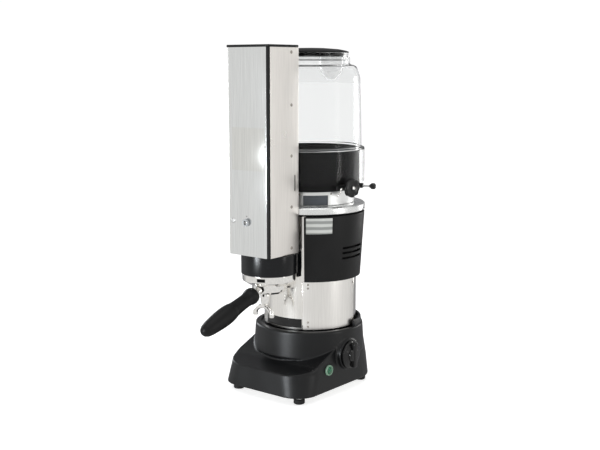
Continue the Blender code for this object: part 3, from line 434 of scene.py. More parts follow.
def smooth_path(points, steps=8):
    """A Catmull-Rom curve through points."""
    knots = [Vector(p) for p in points]
    padded = [knots[0] * 2 - knots[1]] + knots + [knots[-1] * 2 - knots[-2]]
    result = []
    for i in range(1, len(padded) - 2):
        a, b, c, d = padded[i - 1:i + 3]
        for k in range(steps):
            t = k / steps
            result.append(0.5 * (2 * b + (c - a) * t + (2 * a - 5 * b + 4 * c - d) * t ** 2
                                 + (3 * b - a - 3 * c + d) * t ** 3))
    return result + [knots[-1]]


def pipe(name, points, radius, sides=20, hollow=0.0):
    """A round bar or tube along points. radius may be a function of the share of the length."""
    radius_at = radius if callable(radius) else (lambda share: radius)
    points = [Vector(p) for p in points]
    count = len(points)
    tangents = [(points[min(i + 1, count - 1)] - points[max(i - 1, 0)]).normalized()
                for i in range(count)]
    normal = tangents[0].orthogonal().normalized()
    rings = []
    for i, (point, tangent) in enumerate(zip(points, tangents)):
        normal = (normal - tangent * normal.dot(tangent)).normalized()
        across = tangent.cross(normal)
        size = radius_at(i / (count - 1))
        rings.append([point + (normal * math.cos(a) + across * math.sin(a)) * size
                      for a in (math.tau * k / sides for k in range(sides))])
    if hollow:
        inner = [[p + (q - p) * (1 - hollow) for p, q in zip([points[i]] * sides, rings[i])]
                 for i in range(count - 1, -1, -1)]
        rings = rings + inner
    vertices = [v for loop in rings for v in loop]
    faces = []
    loops = len(rings)
    for i in range(loops if hollow else loops - 1):
        for k in range(sides):
            a, b = i * sides + k, i * sides + (k + 1) % sides
            c, d = ((i + 1) % loops) * sides + (k + 1) % sides, ((i + 1) % loops) * sides + k
            faces.append((a, b, c, d))
    if not hollow:
        faces.append(tuple(range(sides - 1, -1, -1)))
        faces.append(tuple(range(len(vertices) - sides, len(vertices))))
    return mesh_piece(name, vertices, faces)


def joined(name, objects):
    """Several meshes made one object."""
    work = bmesh.new()
    for obj in objects:
        if obj.modifiers:
            applied(obj)
        work.from_mesh(obj.data)
        bpy.data.objects.remove(obj, do_unlink=True)
    return placed(name, work)


def around(deg, radius):
    angle = math.radians(deg)
    return radius * math.cos(angle), radius * math.sin(angle)


def screw_head(name, place, outward, radius=2.6, height=1.1):
    """A pan-head screw with a cross recess, standing on a surface."""
    head = turned(name, [(0, height), (radius * 0.75, height, 0.5), (radius, 0.2, 0.3),
                                (radius, -0.8), (0, -0.8)], steps=3,
                 centre=place, axis=outward, segments=24)
    side, across, up = frame_on(outward)
    for direction in (side, across):
        ends = [Vector(place) + direction * (radius * 0.6 * s) + up * (height + 0.2)
                for s in (-1, 1)]
        slot_cut = pipe(name + "_slot", ends, 0.42, sides=4)
        combine(head, slot_cut)
    return head


# ---- base ---------------------------------------------------------------------------------------
def corner_outline(half, front, rear, front_radius, rear_radius, arc=14):
    corners = ((half - rear_radius, rear - rear_radius, rear_radius, 0),
               (-half + rear_radius, rear - rear_radius, rear_radius, 90),
               (-half + front_radius, front + front_radius, front_radius, 180),
               (half - front_radius, front + front_radius, front_radius, 270))
    points = []
    for x, y, radius, start in corners:
        for k in range(arc):
            angle = math.radians(start + 90 * k / (arc - 1))
            points.append((x + radius * math.cos(angle), y + radius * math.sin(angle)))
    return points


def loft(name, sections):
    count = len(sections[0][1])
    vertices = [(x, y, z) for z, outline in sections for x, y in outline]
    faces = [tuple(range(count - 1, -1, -1)),
             tuple(range(len(vertices) - count, len(vertices)))]
    for level in range(len(sections) - 1):
        for k in range(count):
            a, b = level * count + k, level * count + (k + 1) % count
            faces += [(a, b, b + count), (a, b + count, a + count)]
    return mesh_piece(name, vertices, faces)


def extruded_profile(name, outline, half):
    """A (y, z) outline drawn right across the machine."""
    count = len(outline)
    vertices = [(x, y, z) for x in (-half, half) for y, z in outline]
    faces = [tuple(range(count)), tuple(range(2 * count - 1, count - 1, -1))]
    faces += [((k + 1) % count, k, k + count, (k + 1) % count + count) for k in range(count)]
    return mesh_piece(name, vertices, faces)


BASE_LEVELS = (  # height, half width, front, rear, front and rear corner radius
    (BASE_LOW.z, 97.5, -149.0, 97.0, 41.0, 69.0), (52.0, 95.0, -143.5, 97.0, 50.0, 74.0),
    (BASE_TOP + 3, 93.0, -140.0, 90.0, 52.0, 86.0))
DECK = ((-170, 50.5), (-147, 51.5), (-143, 52.5), (-118, 57), (-106, 60), (-97, 64.5), (-85, 70),
        (-72, 75.5), (-60, 80.5), (-45, 87), (-25, 95))
DRUM_Y = -4.0


def base_form(name, inset, drop, low):
    """The base's shape, or the same shape made smaller all round for its hollow."""
    sections = []
    for z, half, front, rear, front_radius, rear_radius in BASE_LEVELS:
        sections.append((z, corner_outline(half - inset, front + inset, rear - inset,
                                           front_radius - inset, rear_radius - inset)))
    sections[0] = (low, sections[0][1])
    form = loft(name, sections)
    deck = [(p.x, p.y - drop) for p in smooth_path([(y, z, 0) for y, z in DECK], 5)]
    outline = deck + [(130, deck[-1][1]), (130, low - 5), (-170, low - 5)]
    return combine(form, extruded_profile(name + "_deck", outline, 130), "INTERSECT")


def build_base():
    body = base_form("base_body", 0, 0, BASE_LOW.z)
    drum = turned("drum", [
        (0, BASE_TOP), (99.5, BASE_TOP, 3), (102.4, 72.0), (102.6, 68.5, 1.2), (98.5, 66.8),
        (93, 22), (0, 22)], steps=5, centre=(0, DRUM_Y, 0), segments=180)
    combine(body, drum, "UNION")
    boss_face = KNOB_FACE - 1.2
    boss = lathe("knob_boss", [(0, boss_face - 80), (27.5, boss_face - 80), (29.5, 0), (0, 0)],
                 centre=(80, KNOB_Y, KNOB_Z), axis=(1, 0, 0), segments=96)
    combine(body, boss, "UNION")
    low, high = span("pilot_lamp_bezel")
    spot = (80, (low.y + high.y) / 2, (low.z + high.z) / 2)
    seat = lathe("lamp_boss", [(0, low.x - 80.3), (10.5, low.x - 80.3), (12.5, 0), (0, 0)],
                 centre=spot, axis=(1, 0, 0), segments=64)
    combine(body, seat, "UNION")
    combine(body, base_form("base_hollow", 4.5, 4.5, BASE_LOW.z - 6))
    combine(body, lathe("drum_hollow", [
        (0, BASE_TOP - 4.5), (94.5, BASE_TOP - 4.5), (97.5, 72), (92.5, 65), (87, 27), (0, 27)],
        centre=(0, DRUM_Y, 0), segments=120))
    seat = lathe("column_seat", [(0, 140), (91.5, 140), (91.5, BASE_TOP - 5), (0, BASE_TOP - 5)],
                 segments=160)
    combine(body, seat)
    remesh = body.modifiers.new("Remesh", "REMESH")
    remesh.mode = "VOXEL"
    remesh.voxel_size = 1.3 * MM
    relax = body.modifiers.new("Smooth", "SMOOTH")
    relax.factor = 0.5
    relax.iterations = 7
    applied(body)
    finished(body, PAINT, replaces=("base_housing",), sharp_deg=70)

    shoe = BASE_TOP - 5
    floor = turned("drum_floor", [
        (0, shoe + 2.2), (91.2, shoe + 2.2, 0.6), (91.2, shoe), (0, shoe)], segments=128)
    finished(floor, PAINT)
    cowl = ring("rear_cowl_rim", [
        (89.6, BASE_TOP - 1), (89.6, 126.4, 1.8), (93.6, 127.4, 2.0), (95.2, BASE_TOP - 1)],
        steps=5, segments=100, start_deg=6, sweep_deg=168)
    finished(soften(cowl, 1.0, 3, 50), PAINT, replaces=("rear_cowl",))
    for node in ("foot_front_left", "foot_front_right", "foot_rear_left", "foot_rear_right"):
        low, high = span(node)
        centre = ((low.x + high.x) / 2, (low.y + high.y) / 2, 0)
        foot = turned(node + "_pad", [
            (0, 9.0), (8.6, 9.0, 0.8), (10.0, 7.6, 0.8), (10.0, 1.6, 1.0), (8.8, 0, 0.6), (0, 0)],
            centre=centre, segments=48)
        finished(foot, RUBBER, replaces=(node,))
        sleeve = turned(node + "_spacer", [
            (0, high.z), (7.6, high.z, 0.4), (7.6, 9.2, 0.4), (0, 9.2)], centre=centre,
            segments=40)
        finished(sleeve, CAST)


def build_power_knob():
    face, y, z = KNOB_FACE, KNOB_Y, KNOB_Z
    centre, axis = (face, y, z), (1, 0, 0)
    skirt = turned("power_knob_skirt", [
        (0, 7.4), (15, 7.4, 1), (20.0, 5.6, 2), (24.6, 4.2, 1.0), (25.4, 3.0, 0.6),
        (25.4, 0.4, 0.4), (0, 0.4)], steps=5, centre=centre, axis=axis, segments=128)
    bar = block("power_knob_bar", (face + 1.5, -5.2, -22.5), (face + 14.0, 5.2, 22.5), 2.6, 5,
                centre=(0, y, z))
    hub = turned("power_knob_hub", [(0, 12.2), (11.5, 12.2, 2), (13.5, 4), (0, 4)],
                centre=centre, axis=axis, segments=64)
    stem = lathe("power_knob_stem", [(0, 1), (3.1, 1), (3.1, -28), (0, -28)], centre=centre,
                 axis=axis, segments=24)
    ribs = []
    for k in range(36):
        dy, dz = (25.2 * f(math.radians(10 * k)) for f in (math.sin, math.cos))
        ribs.append(turned(f"power_knob_rib_{k}", [(0, 3.6), (0.7, 3.2, 0.3), (0.7, 0.8),
                                                         (0, 0.8)], steps=2,
                          centre=(face, y + dy, z + dz), axis=axis, segments=8))
    dial = joined("power_knob_dial", [skirt, bar, hub, stem] + ribs)
    finished(dial, GLOSS, "power_knob", ("power_knob",))
    pointer = turned("power_knob_pointer", [(0, 4.9), (1.5, 4.7, 0.3), (1.5, 3.4),
                                                  (0, 3.4)],
                    centre=(face, y, z + 22.9), axis=axis, segments=24)
    finished(pointer, BADGE, "power_knob")
    for k, deg in enumerate((40, 75, 110, 145)):
        dy, dz = (27.6 * f(math.radians(deg)) for f in (math.sin, math.cos))
        dot = turned(f"power_scale_dot_{k}", [(0, 0.3), (0.8, 0.25, 0.1), (0.85, -1.4),
                                                    (0, -1.4)],
                    centre=(face - 0.9, y + dy, z + dz), axis=axis, segments=16)
        finished(dot, BADGE)


def build_lamp():
    low, high = span("pilot_lamp_bezel")
    y, z, face = (low.y + high.y) / 2, (low.z + high.z) / 2, low.x
    bezel = ring("lamp_bezel_ring", [
        (9.4, 0), (9.5, 1.6, 0.6), (8.9, 3.5, 0.5), (7.9, 3.5, 0.4), (7.5, 1.0), (6.6, 1.0),
        (6.6, 0)], centre=(face, y, z), axis=(1, 0, 0), segments=64)
    finished(bezel, LAMP_RING, replaces=("pilot_lamp_bezel",))
    lens = turned("lamp_lens_dome", [
        (0, 3.4), (2.4, 3.2), (4.6, 2.6), (6.0, 1.6), (6.4, 0.6), (6.4, -6.5), (0, -6.5)],
        centre=(face, y, z), axis=(1, 0, 0), segments=48)
    finished(lens, LENS, replaces=("pilot_lamp_lens",), sharp_deg=60)


def build_gland():
    low, high = span("cord_gland")
    x, z = (low.x + high.x) / 2, (low.z + high.z) / 2
    nut = ring("cord_gland_nut", [
        (4.3, high.y, 0.5), (7.0, high.y, 0.8), (8.4, high.y - 3, 1), (12.2, high.y - 12, 1.5),
        (12.5, high.y - 17, 0.6), (8.0, high.y - 17), (8.0, low.y), (4.3, low.y)],
        centre=(x, 0, z), axis=(0, 1, 0), segments=72)
    finished(nut, PLASTIC, replaces=("cord_gland",))
    ribs = []
    for k in range(20):
        deg = 18 * k
        dx, dz = 12.0 * math.cos(math.radians(deg)), 12.0 * math.sin(math.radians(deg))
        ribs.append(block(f"rib_{k}", (x + dx - 0.5, high.y - 16.6, z + dz - 0.5),
                          (x + dx + 0.5, high.y - 13, z + dz + 0.5), 0.2, 2))
    finished(joined("cord_gland_grip", ribs), PLASTIC)


# ---- motor column -------------------------------------------------------------------------------
def sheet_about_axis(name, low_radius, top_radius, low, high, start_deg, end_deg, thickness,
                     round_edge=0.4, segments=72):
    """A curved sheet about the column's axis, with rounded edges all round."""
    profile = [(low_radius, low), (top_radius, high), (top_radius - thickness, high),
               (low_radius - thickness, low)]
    obj = lathe(name, profile, closed=True, segments=segments, start_deg=start_deg,
                sweep_deg=end_deg - start_deg)
    return soften(obj, round_edge, 2, 50)


def build_column():
    tube = ring("column_skin", [
        (TUBE_RADIUS, TUBE_HIGH.z), (TUBE_RADIUS, TUBE_LOW.z), (TUBE_RADIUS - 2, TUBE_LOW.z),
        (TUBE_RADIUS - 2, TUBE_HIGH.z)], segments=192)
    finished(tube, POLISHED, replaces=("column_tube",))
    # Painted reflection: a gloss black band on the front of the polished column stands in for the black
    # base reflected there.
    foot = sheet_about_axis("column_painted_base_reflection", TUBE_RADIUS + 0.9, TUBE_RADIUS + 0.9, 121, 137,
                            -117.5, -62.5, 0.7)
    finished(foot, GLOSS)
    for side in ("right", "left"):
        node = f"column_panel_{side}"
        low, high = span(node)
        start, end = (-62.0, 14.5) if side == "right" else (165.5, 242.0)
        panel = sheet_about_axis(f"wrap_panel_{side}", 86.0, 86.0, low.z, high.z, start, end, 1.2)
        finished(panel, WRAP, replaces=(node,))
        fold = sheet_about_axis(f"wrap_fold_{side}", 86.25, 86.25, low.z + 0.4, high.z - 0.4,
                                start + 0.15, start + 1.1, 1.4, 0.3, 6)
        other = sheet_about_axis(f"wrap_hem_{side}", 86.25, 86.25, low.z + 0.4, high.z - 0.4,
                                 end - 1.1, end - 0.15, 1.4, 0.3, 6)
        finished(joined(f"wrap_edges_{side}", [fold, other]), POLISHED)
        deg = -54.8 if side == "right" else 234.8
        for k, z in enumerate((200.4, 194.0, 131.9, 123.9)):
            spot = (*around(deg, 86.0), z)
            finished(screw_head(f"wrap_screw_{side}_{k}", spot, (*around(deg, 1), 0), 1.9, 0.8),
                     SCREW)
        rear = 11.0 if side == "right" else 169.0
        for k, z in enumerate((196.0, 128.0)):
            spot = (*around(rear, 86.0), z)
            finished(screw_head(f"wrap_rear_screw_{side}_{k}", spot, (*around(rear, 1), 0), 1.9,
                                0.8), SCREW)
    build_cover()


def cover_radius(z):
    share = (z - 206.0) / (324.0 - 206.0)
    return 92.0 + (99.2 - 92.0) * share


def build_cover():
    cover = ring("mid_cover_shell", [
        (cover_radius(206), 206.0, 1.2), (cover_radius(324), 324.0, 1.2),
        (cover_radius(324) - 3, 324.0, 0.5), (cover_radius(206) - 3, 206.0, 0.5)],
        segments=190, start_deg=-58.8, sweep_deg=297.6)
    for z in (265.0, 256.0, 246.5):
        for start in (-15.0, 159.0):
            arc = ring("vent_slot", [
                (104, z + 2.1, 1.5), (104, z - 2.1, 1.5), (84, z - 2.1, 1.5), (84, z + 2.1, 1.5)],
                segments=36, start_deg=start, sweep_deg=36)
            combine(cover, arc)
    soften(cover, 0.7, 3, 40)
    finished(cover, PLASTIC, replaces=("mid_cover",))
    # Painted shade: dark sheets behind the vent slots make the slots read dark.
    for start in (-16.5, 157.5):
        vent_shade = lathe("vent_painted_shade_%d" % (start > 0), [(88.4, 271), (88.4, 240), (87.9, 240), (87.9, 271)],
                       closed=True, segments=40, start_deg=start, sweep_deg=39)
        finished(vent_shade, SHADE_AND_MARK_BLACK)
    low, high = span("rating_plate")
    foil = ring("rating_foil", [
        (cover_radius(low.z) + 0.35, low.z), (cover_radius(high.z) + 0.35, high.z),
        (cover_radius(high.z) + 1.0, high.z), (cover_radius(low.z) + 1.0, low.z)],
        segments=40, start_deg=-56.5, sweep_deg=27.5)
    finished(soften(foil, 0.2, 2, 50), LABEL, replaces=("rating_plate",))


# ---- grinding head ------------------------------------------------------------------------------
def build_head():
    flange = ring("top_ring", [
        (FLANGE_RADIUS - 3.2, FLANGE_HIGH.z, 1.4), (FLANGE_RADIUS, FLANGE_HIGH.z - 2.6, 1.6),
        (FLANGE_RADIUS, FLANGE_LOW.z + 1.2, 0.8), (FLANGE_RADIUS - 1.4, FLANGE_LOW.z, 0.4),
        (12, FLANGE_LOW.z), (12, FLANGE_HIGH.z)], steps=5,
        segments=200)
    combine(flange, lathe("auger_notch", [(0, 400), (AUGER_ROOM, 400), (AUGER_ROOM, 300),
                                          (0, 300)], centre=(0, GROUP_Y, 0), segments=80))
    finished(flange, CAST, replaces=("top_flange",))
    # Painted shade: a dark ring fills the gap under the top ring, where the gap falls into shade.
    gap_shade = ring("ring_gap_painted_shade", [
        (95.5, FLANGE_LOW.z - 0.1), (95.5, COVER_HIGH.z + 0.1), (85.2, COVER_HIGH.z + 0.1),
        (85.2, FLANGE_LOW.z - 0.1)], segments=160)
    finished(gap_shade, SHADE_AND_MARK_BLACK)

    top, low = CHAMBER_HIGH.z, CHAMBER_LOW.z
    chamber = ring("chamber_wall", [
        (78.6, top, 0.6), (80, top - 1.4, 0.8), (80, low + 1.2, 0.8), (78.8, low), (12, low),
        (12, 344), (70, 344), (70, top)], segments=180)
    combine(chamber, block("exit_cut", (-13, -86, 345), (13, -60, 360), 0))
    window_cut = ring("window_cut", [
        (84, 359.6, 1), (84, 341.6, 1), (77.6, 341.6, 1), (77.6, 359.6, 1)],
        segments=40, start_deg=-62, sweep_deg=33)
    combine(chamber, window_cut)
    finished(soften(chamber, 0.5, 2, 40), CHAMBER, replaces=("grinding_chamber",))
    pane = ring("chamber_window", [
        (79.3, 359.2, 0.6), (79.3, 342.0, 0.6), (77.8, 342.0), (77.8, 359.2)],
        segments=40, start_deg=-61.5, sweep_deg=32)
    finished(pane, SMOKE)
    for k, deg in enumerate((-66, -25, 10, 60, 110, 150, 200, 236)):
        spot = (*around(deg, 80.0), 361.6)
        finished(screw_head(f"chamber_screw_{k}", spot, (*around(deg, 1), 0), 1.8, 0.8), SCREW)

    for k, deg in enumerate((-72, 252)):
        x, y = around(deg, 86.5)
        post = turned(f"ring_post_{k}", [
            (0, 363.5), (3.4, 363.5, 0.8), (3.4, FLANGE_HIGH.z + 0.3), (0, FLANGE_HIGH.z + 0.3)],
            centre=(x, y, 0), segments=32)
        finished(post, CHROME)
        nut = turned(f"ring_post_nut_{k}", [
            (0, FLANGE_HIGH.z + 4.5), (5.0, FLANGE_HIGH.z + 4.5, 0.6),
            (5.0, FLANGE_HIGH.z + 0.4), (0, FLANGE_HIGH.z + 0.4)], centre=(x, y, 0), segments=6)
        finished(nut, SCREW)

    top, low, edge = COLLAR_HIGH.z, COLLAR_LOW.z, COLLAR_RADIUS
    collar = ring("hopper_collar_shell", [
        (edge - 0.6, top, 0.9), (edge, low, 0.8), (72, low), (72, low + 2.5),
        (edge - 2.5, low + 2.5), (edge - 2.5, 432), (24, 374.6), (21, 374.6, 0.8),
        (21, 377.2, 0.8), (edge - 4.3, top, 0.6)], segments=180)
    finished(collar, COLLAR, replaces=("hopper_collar",))
    bracket = block("adjust_bracket", (86, -9, 368.4), (99.2, 9, 378.4), 1.4, 4,
                    turn_deg=ADJUST_DEG)
    cheek = block("adjust_cheek", (93.2, -24, 369.0), (97.0, -7, 378.2), 1.6, 4,
                  turn_deg=ADJUST_DEG)
    finished(joined("adjust_bracket_block", [bracket, cheek]), PLASTIC)
    guide = block("gate_guide", (86, -5, 367.9), (99.2, 5, 376.3), 1.0, 4, turn_deg=GATE_DEG)
    finished(guide, PLASTIC)


def build_adjuster():
    way = (*around(ADJUST_DEG, 1), 0)
    z = 373.6
    start = (*around(ADJUST_DEG, 102.3), z)
    lobes, inner, outer = 8, 15.2, 17.0
    outline = []
    for k in range(lobes * 12):
        angle = math.tau * k / (lobes * 12)
        wave = 0.5 + 0.5 * math.cos(lobes * angle)
        outline.append((angle, inner + (outer - inner) * wave ** 0.6))
    side, across, up = frame_on(way)
    levels = ((2.5, 0.93), (3.6, 0.985), (5.0, 1.0), (8.6, 1.0), (10.2, 0.97), (11.0, 0.90),
              (11.3, 0.62), (10.6, 0.52), (10.6, 0.30), (12.0, 0.27), (12.4, 0.2))
    vertices, faces = [], []
    for height, share in levels:
        for angle, radius in outline:
            r = radius * share if share > 0.7 else inner * share
            out = side * math.cos(angle) + across * math.sin(angle)
            vertices.append(Vector(start) + out * r + up * height)
    count = len(outline)
    for level in range(len(levels) - 1):
        for k in range(count):
            a, b = level * count + k, level * count + (k + 1) % count
            faces.append((a, b, b + count, a + count))
    faces += [tuple(range(count)), tuple(range(len(vertices) - count, len(vertices)))]
    knob = mesh_piece("adjust_knob_lobes", vertices, faces)
    finished(knob, GLOSS, "adjust_knob", ("adjust_knob",), 40)
    cap = turned("adjust_knob_screw", [
        (0, 13.6), (2.6, 13.3, 0.8), (3.2, 12.2), (0, 12.2)], centre=start, axis=way,
        segments=32)
    finished(cap, CHROME, "adjust_knob")
    neck = turned("adjust_knob_neck", [
        (0, 3.0), (6.4, 3.0, 0.6), (7.2, 0.4, 0.6), (0, 0.2)], centre=start, axis=way,
        segments=40)
    finished(neck, GLOSS, "adjust_knob")
    shaft = turned("adjust_shaft", [
        (0, 41.8), (3.6, 41.8, 0.5), (3.6, 8.5), (6.0, 8.0, 0.6), (6.0, 0, 0.6), (0, 0)],
        centre=(*around(ADJUST_DEG, 60), z), axis=way, segments=48)
    finished(shaft, CHROME, "adjust_knob", ("adjust_pinion_shaft",))

    def near(radial, sideways, height):
        x, y = around(ADJUST_DEG, radial)
        dx, dy = around(ADJUST_DEG - 90, sideways)
        return (x + dx, y + dy, height)

    spring = smooth_path([near(98.5, 18, 371.0), near(101.5, 19.5, 370.0), near(102.5, 21.5, 366.5),
                          near(101.0, 23.5, 362.5), near(98.0, 24.0, 359.5)], 6)
    finished(pipe("adjust_clip", spring, 1.3, 12), CHROME)
    finished(lathe("adjust_clip_ball", [
        (2.3 * math.sin(math.radians(a)), 2.3 * math.cos(math.radians(a)))
        for a in range(0, 181, 15)], centre=near(101.0, 17.2, 372.0), segments=24), CHROME)


def build_gate():
    way = (*around(GATE_DEG, 1), 0)
    low, high = span("gate_slide")
    z = (low.z + high.z) / 2
    tray = block("gate_tray", (-24, -24, z - 1), (24, 24, z + 1), 0.5, 2, turn_deg=GATE_DEG)
    rod = turned("gate_rod", [(0, 87.4), (1.8, 87.4, 0.3), (1.8, 0), (0, 0)],
                centre=(*around(GATE_DEG, 24.0), z), axis=way, segments=24)
    finished(joined("gate_tray_and_rod", [tray, rod]), TOOL, "bean_gate", ("gate_slide",))
    knob = turned("gate_button", [
        (0, 11.0), (3.6, 11.0, 1.4), (5.5, 9.0, 1.6), (5.5, 3.6, 1.2), (4.0, 2.4, 0.8),
        (3.0, 0.2), (0, 0.2)], steps=5, centre=(*around(GATE_DEG, 111.8), z), axis=way,
        segments=48)
    finished(knob, GLOSS, "bean_gate", ("gate_knob",), 50)


# ---- hopper -------------------------------------------------------------------------------------
def build_hopper():
    lip_z, foot_z = SHELL_HIGH.z, SHELL_LOW.z
    wall = 2.2
    outer = [(68.3, lip_z, 0.6), (70.5, lip_z, 0.8), (70.5, 588.5, 2.5), (82.0, 585.5, 10),
             (88.9, 566.0, 14), (91.3, 506.0), (92.3, 442.6, 0.8),
             (SKIRT_RADIUS - 0.8, 440.4, 1.2), (SKIRT_RADIUS, 437.0, 2), (SKIRT_RADIUS, foot_z, 0.7)]
    inner = [(SKIRT_RADIUS - wall, foot_z, 0.7), (SKIRT_RADIUS - wall, 437.0, 1.5),
             (COLLAR_RADIUS + 0.6, 438.0, 0.5), (COLLAR_RADIUS + 0.6, 439.3),
             (COLLAR_RADIUS - 1.4, 439.3, 0.4), (COLLAR_RADIUS - 1.4, 443.0, 0.6),
             (91.3 - wall, 506), (88.9 - wall, 566, 14), (80.6, 583.2, 9), (68.3, 586.4, 2.5)]
    shell = ring("hopper_clear_shell", outer + inner, steps=8, segments=200)
    finished(shell, CLEAR, "hopper", ("hopper_shell",), 60)

    top = span("hopper_lid")[1].z
    cap = turned("hopper_lid_dome", [
        (0, top), (24, top - 0.6, 30), (50, top - 2.6, 40), (64, top - 5.4, 12),
        (68.4, top - 7.2, 1.2), (68.6, top - 8.6, 0.8), (61.5, top - 9.6, 1.0), (58.0, 602.5, 2),
        (0, 602.5)], steps=5, segments=160)
    finished(cap, PLASTIC, "lid", ("hopper_lid",), 40)
    lip = ring("lid_lip", [
        (62.8, top - 9.5, 0.3), (67.6, top - 8.9, 0.6), (67.4, top - 11.6, 0.8),
        (66.6, 601.1, 0.6), (66.6, 596, 0.8), (63.4, 594, 0.6)],
        segments=160)
    finished(lip, CLEAR, "lid", sharp_deg=60)
    reach, deep = 22.5, 1.45
    recess = lathe("finger_recess", [
        (reach * math.sin(math.radians(a)), -reach * deep * math.cos(math.radians(a)))
        for a in range(0, 91, 6)] + [(reach, 10.2), (reach - 1.8, 10.2)] + [
        ((reach - 1.8) * math.sin(math.radians(a)),
         -(reach * deep - 1.8) * math.cos(math.radians(a)))
        for a in range(90, -1, -6)], centre=(29, 23, 592), segments=72)
    finished(recess, FROSTED, "lid", sharp_deg=70)


# ---- filling tower ------------------------------------------------------------------------------
def build_tower():
    half, front = TOWER_HALF, TOWER_FRONT
    low, top = TOWER_BOTTOM, PANEL_HIGH.z
    face = block("tower_face", (PANEL_LOW.x, front, low), (PANEL_HIGH.x, PANEL_HIGH.y, top), 0.55, 4)
    finished(face, FRONT, replaces=("tower_front_panel",))
    for name, sign in (("right", 1), ("left", -1)):
        node = f"tower_side_{name}"
        box_low, box_high = span(node)
        side = block(f"tower_wall_{name}", (box_low.x, box_low.y, low),
                     (box_high.x, box_high.y, top), 0.55, 4)
        combine(side, block("side_slot", (box_low.x - 4, -103.2, 371.5),
                            (box_high.x + 4, -100.4, 399), 0))
        finished(side, SIDE, replaces=(node,))
        # Painted shade: a dark sheet inside the side slot makes the slot read dark.
        inner = box_low.x if sign > 0 else box_high.x
        edges = sorted((inner - sign * 0.1, inner - sign * 0.9))
        finished(block(f"side_slot_painted_shade_{name}", (edges[0], -104.4, 370.5),
                       (edges[1], -99.4, 400), 0.2, 2), SHADE_AND_MARK_BLACK)
        trim_low, trim_high = span(f"corner_trim_{name}")
        inset = 0.5
        trim = block(f"corner_strip_{name}",
                     (trim_low.x + (0 if sign > 0 else inset), trim_low.y + inset, low),
                     (trim_high.x - (inset if sign > 0 else 0), trim_high.y, top), 0.8, 3)
        finished(trim, PLASTIC if sign > 0 else SIDE, replaces=(f"corner_trim_{name}",))
        for k, z in enumerate((608.2, 519.4, 432.6, 344.4, 272.5)):
            spot = (sign * half, -111.0, z)
            finished(screw_head(f"tower_screw_{name}_{k}", spot, (sign, 0, 0), 2.8, 0.9), SCREW)
    over, depth = 1.2, 3.8
    cap = block("tower_lid", (-half - over, front - over, TOWER_TOP - depth),
                (half + over, span("tower_cap")[1].y, TOWER_TOP + 0.4), 1.1, 4)
    finished(cap, PLASTIC, replaces=("tower_cap",))
    badge = block("blank_badge", (-37, front - 0.22, 409), (36, front - 0.01, 482), 0.08, 2)
    finished(badge, BADGE)


def build_tower_controls():
    x, z, front = -4.4, 319.6, TOWER_FRONT
    dial = turned("tamp_dial_body", [
        (0, 4.4), (3.2, 4.4, 0.6), (4.3, 5.6, 0.5), (5.6, 5.6, 0.8), (6.5, 4.4, 0.8),
        (6.5, 0.5, 0.3), (2.2, 0.5), (2.2, -9), (0, -9)], steps=4,
        centre=(x, front, z), axis=(0, -1, 0), segments=56)
    finished(dial, GREY, "tamp_dial", ("tamp_dial",), 40)
    insert = turned("tamp_dial_insert", [(0, 4.9), (2.9, 4.9, 0.3), (2.9, 4.3), (0, 4.3)],
                   centre=(x, front, z), axis=(0, -1, 0), segments=32)
    finished(insert, CHROME, "tamp_dial")
    blade = block("tamp_dial_blade", (x - 0.8, front - 5.9, z - 3.6), (x + 0.8, front - 4.2, z + 3.6),
                  0.3, 2)
    finished(blade, GLOSS, "tamp_dial")
    dot = turned("tamp_index_dot", [(0, 0.25), (0.9, 0.2, 0.1), (0.9, -0.2), (0, -0.2)],
                centre=(x, front, z + 10.5), axis=(0, -1, 0), segments=20)
    finished(dot, SHADE_AND_MARK_BLACK)
    catch = turned("front_catch", [
        (0, 1.5), (3.0, 1.3, 0.8), (4.6, 0.4, 0.5), (4.8, -0.3), (0, -0.3)],
        centre=(-35.6, front, 320.6), axis=(0, -1, 0), segments=36)
    finished(catch, INNER)
    screw = turned("thumbscrew_head", [
        (0, 7.4), (3.6, 7.4, 0.8), (4.5, 6.2, 0.6), (4.5, 0.6, 0.4), (2.2, 0.5), (2.2, -9),
        (0, -9)], centre=(-TOWER_HALF, -158, 403.9), axis=(-1, 0, 0), segments=40)
    finished(screw, GLOSS, "thumbscrew", ("side_thumbscrew",), 40)


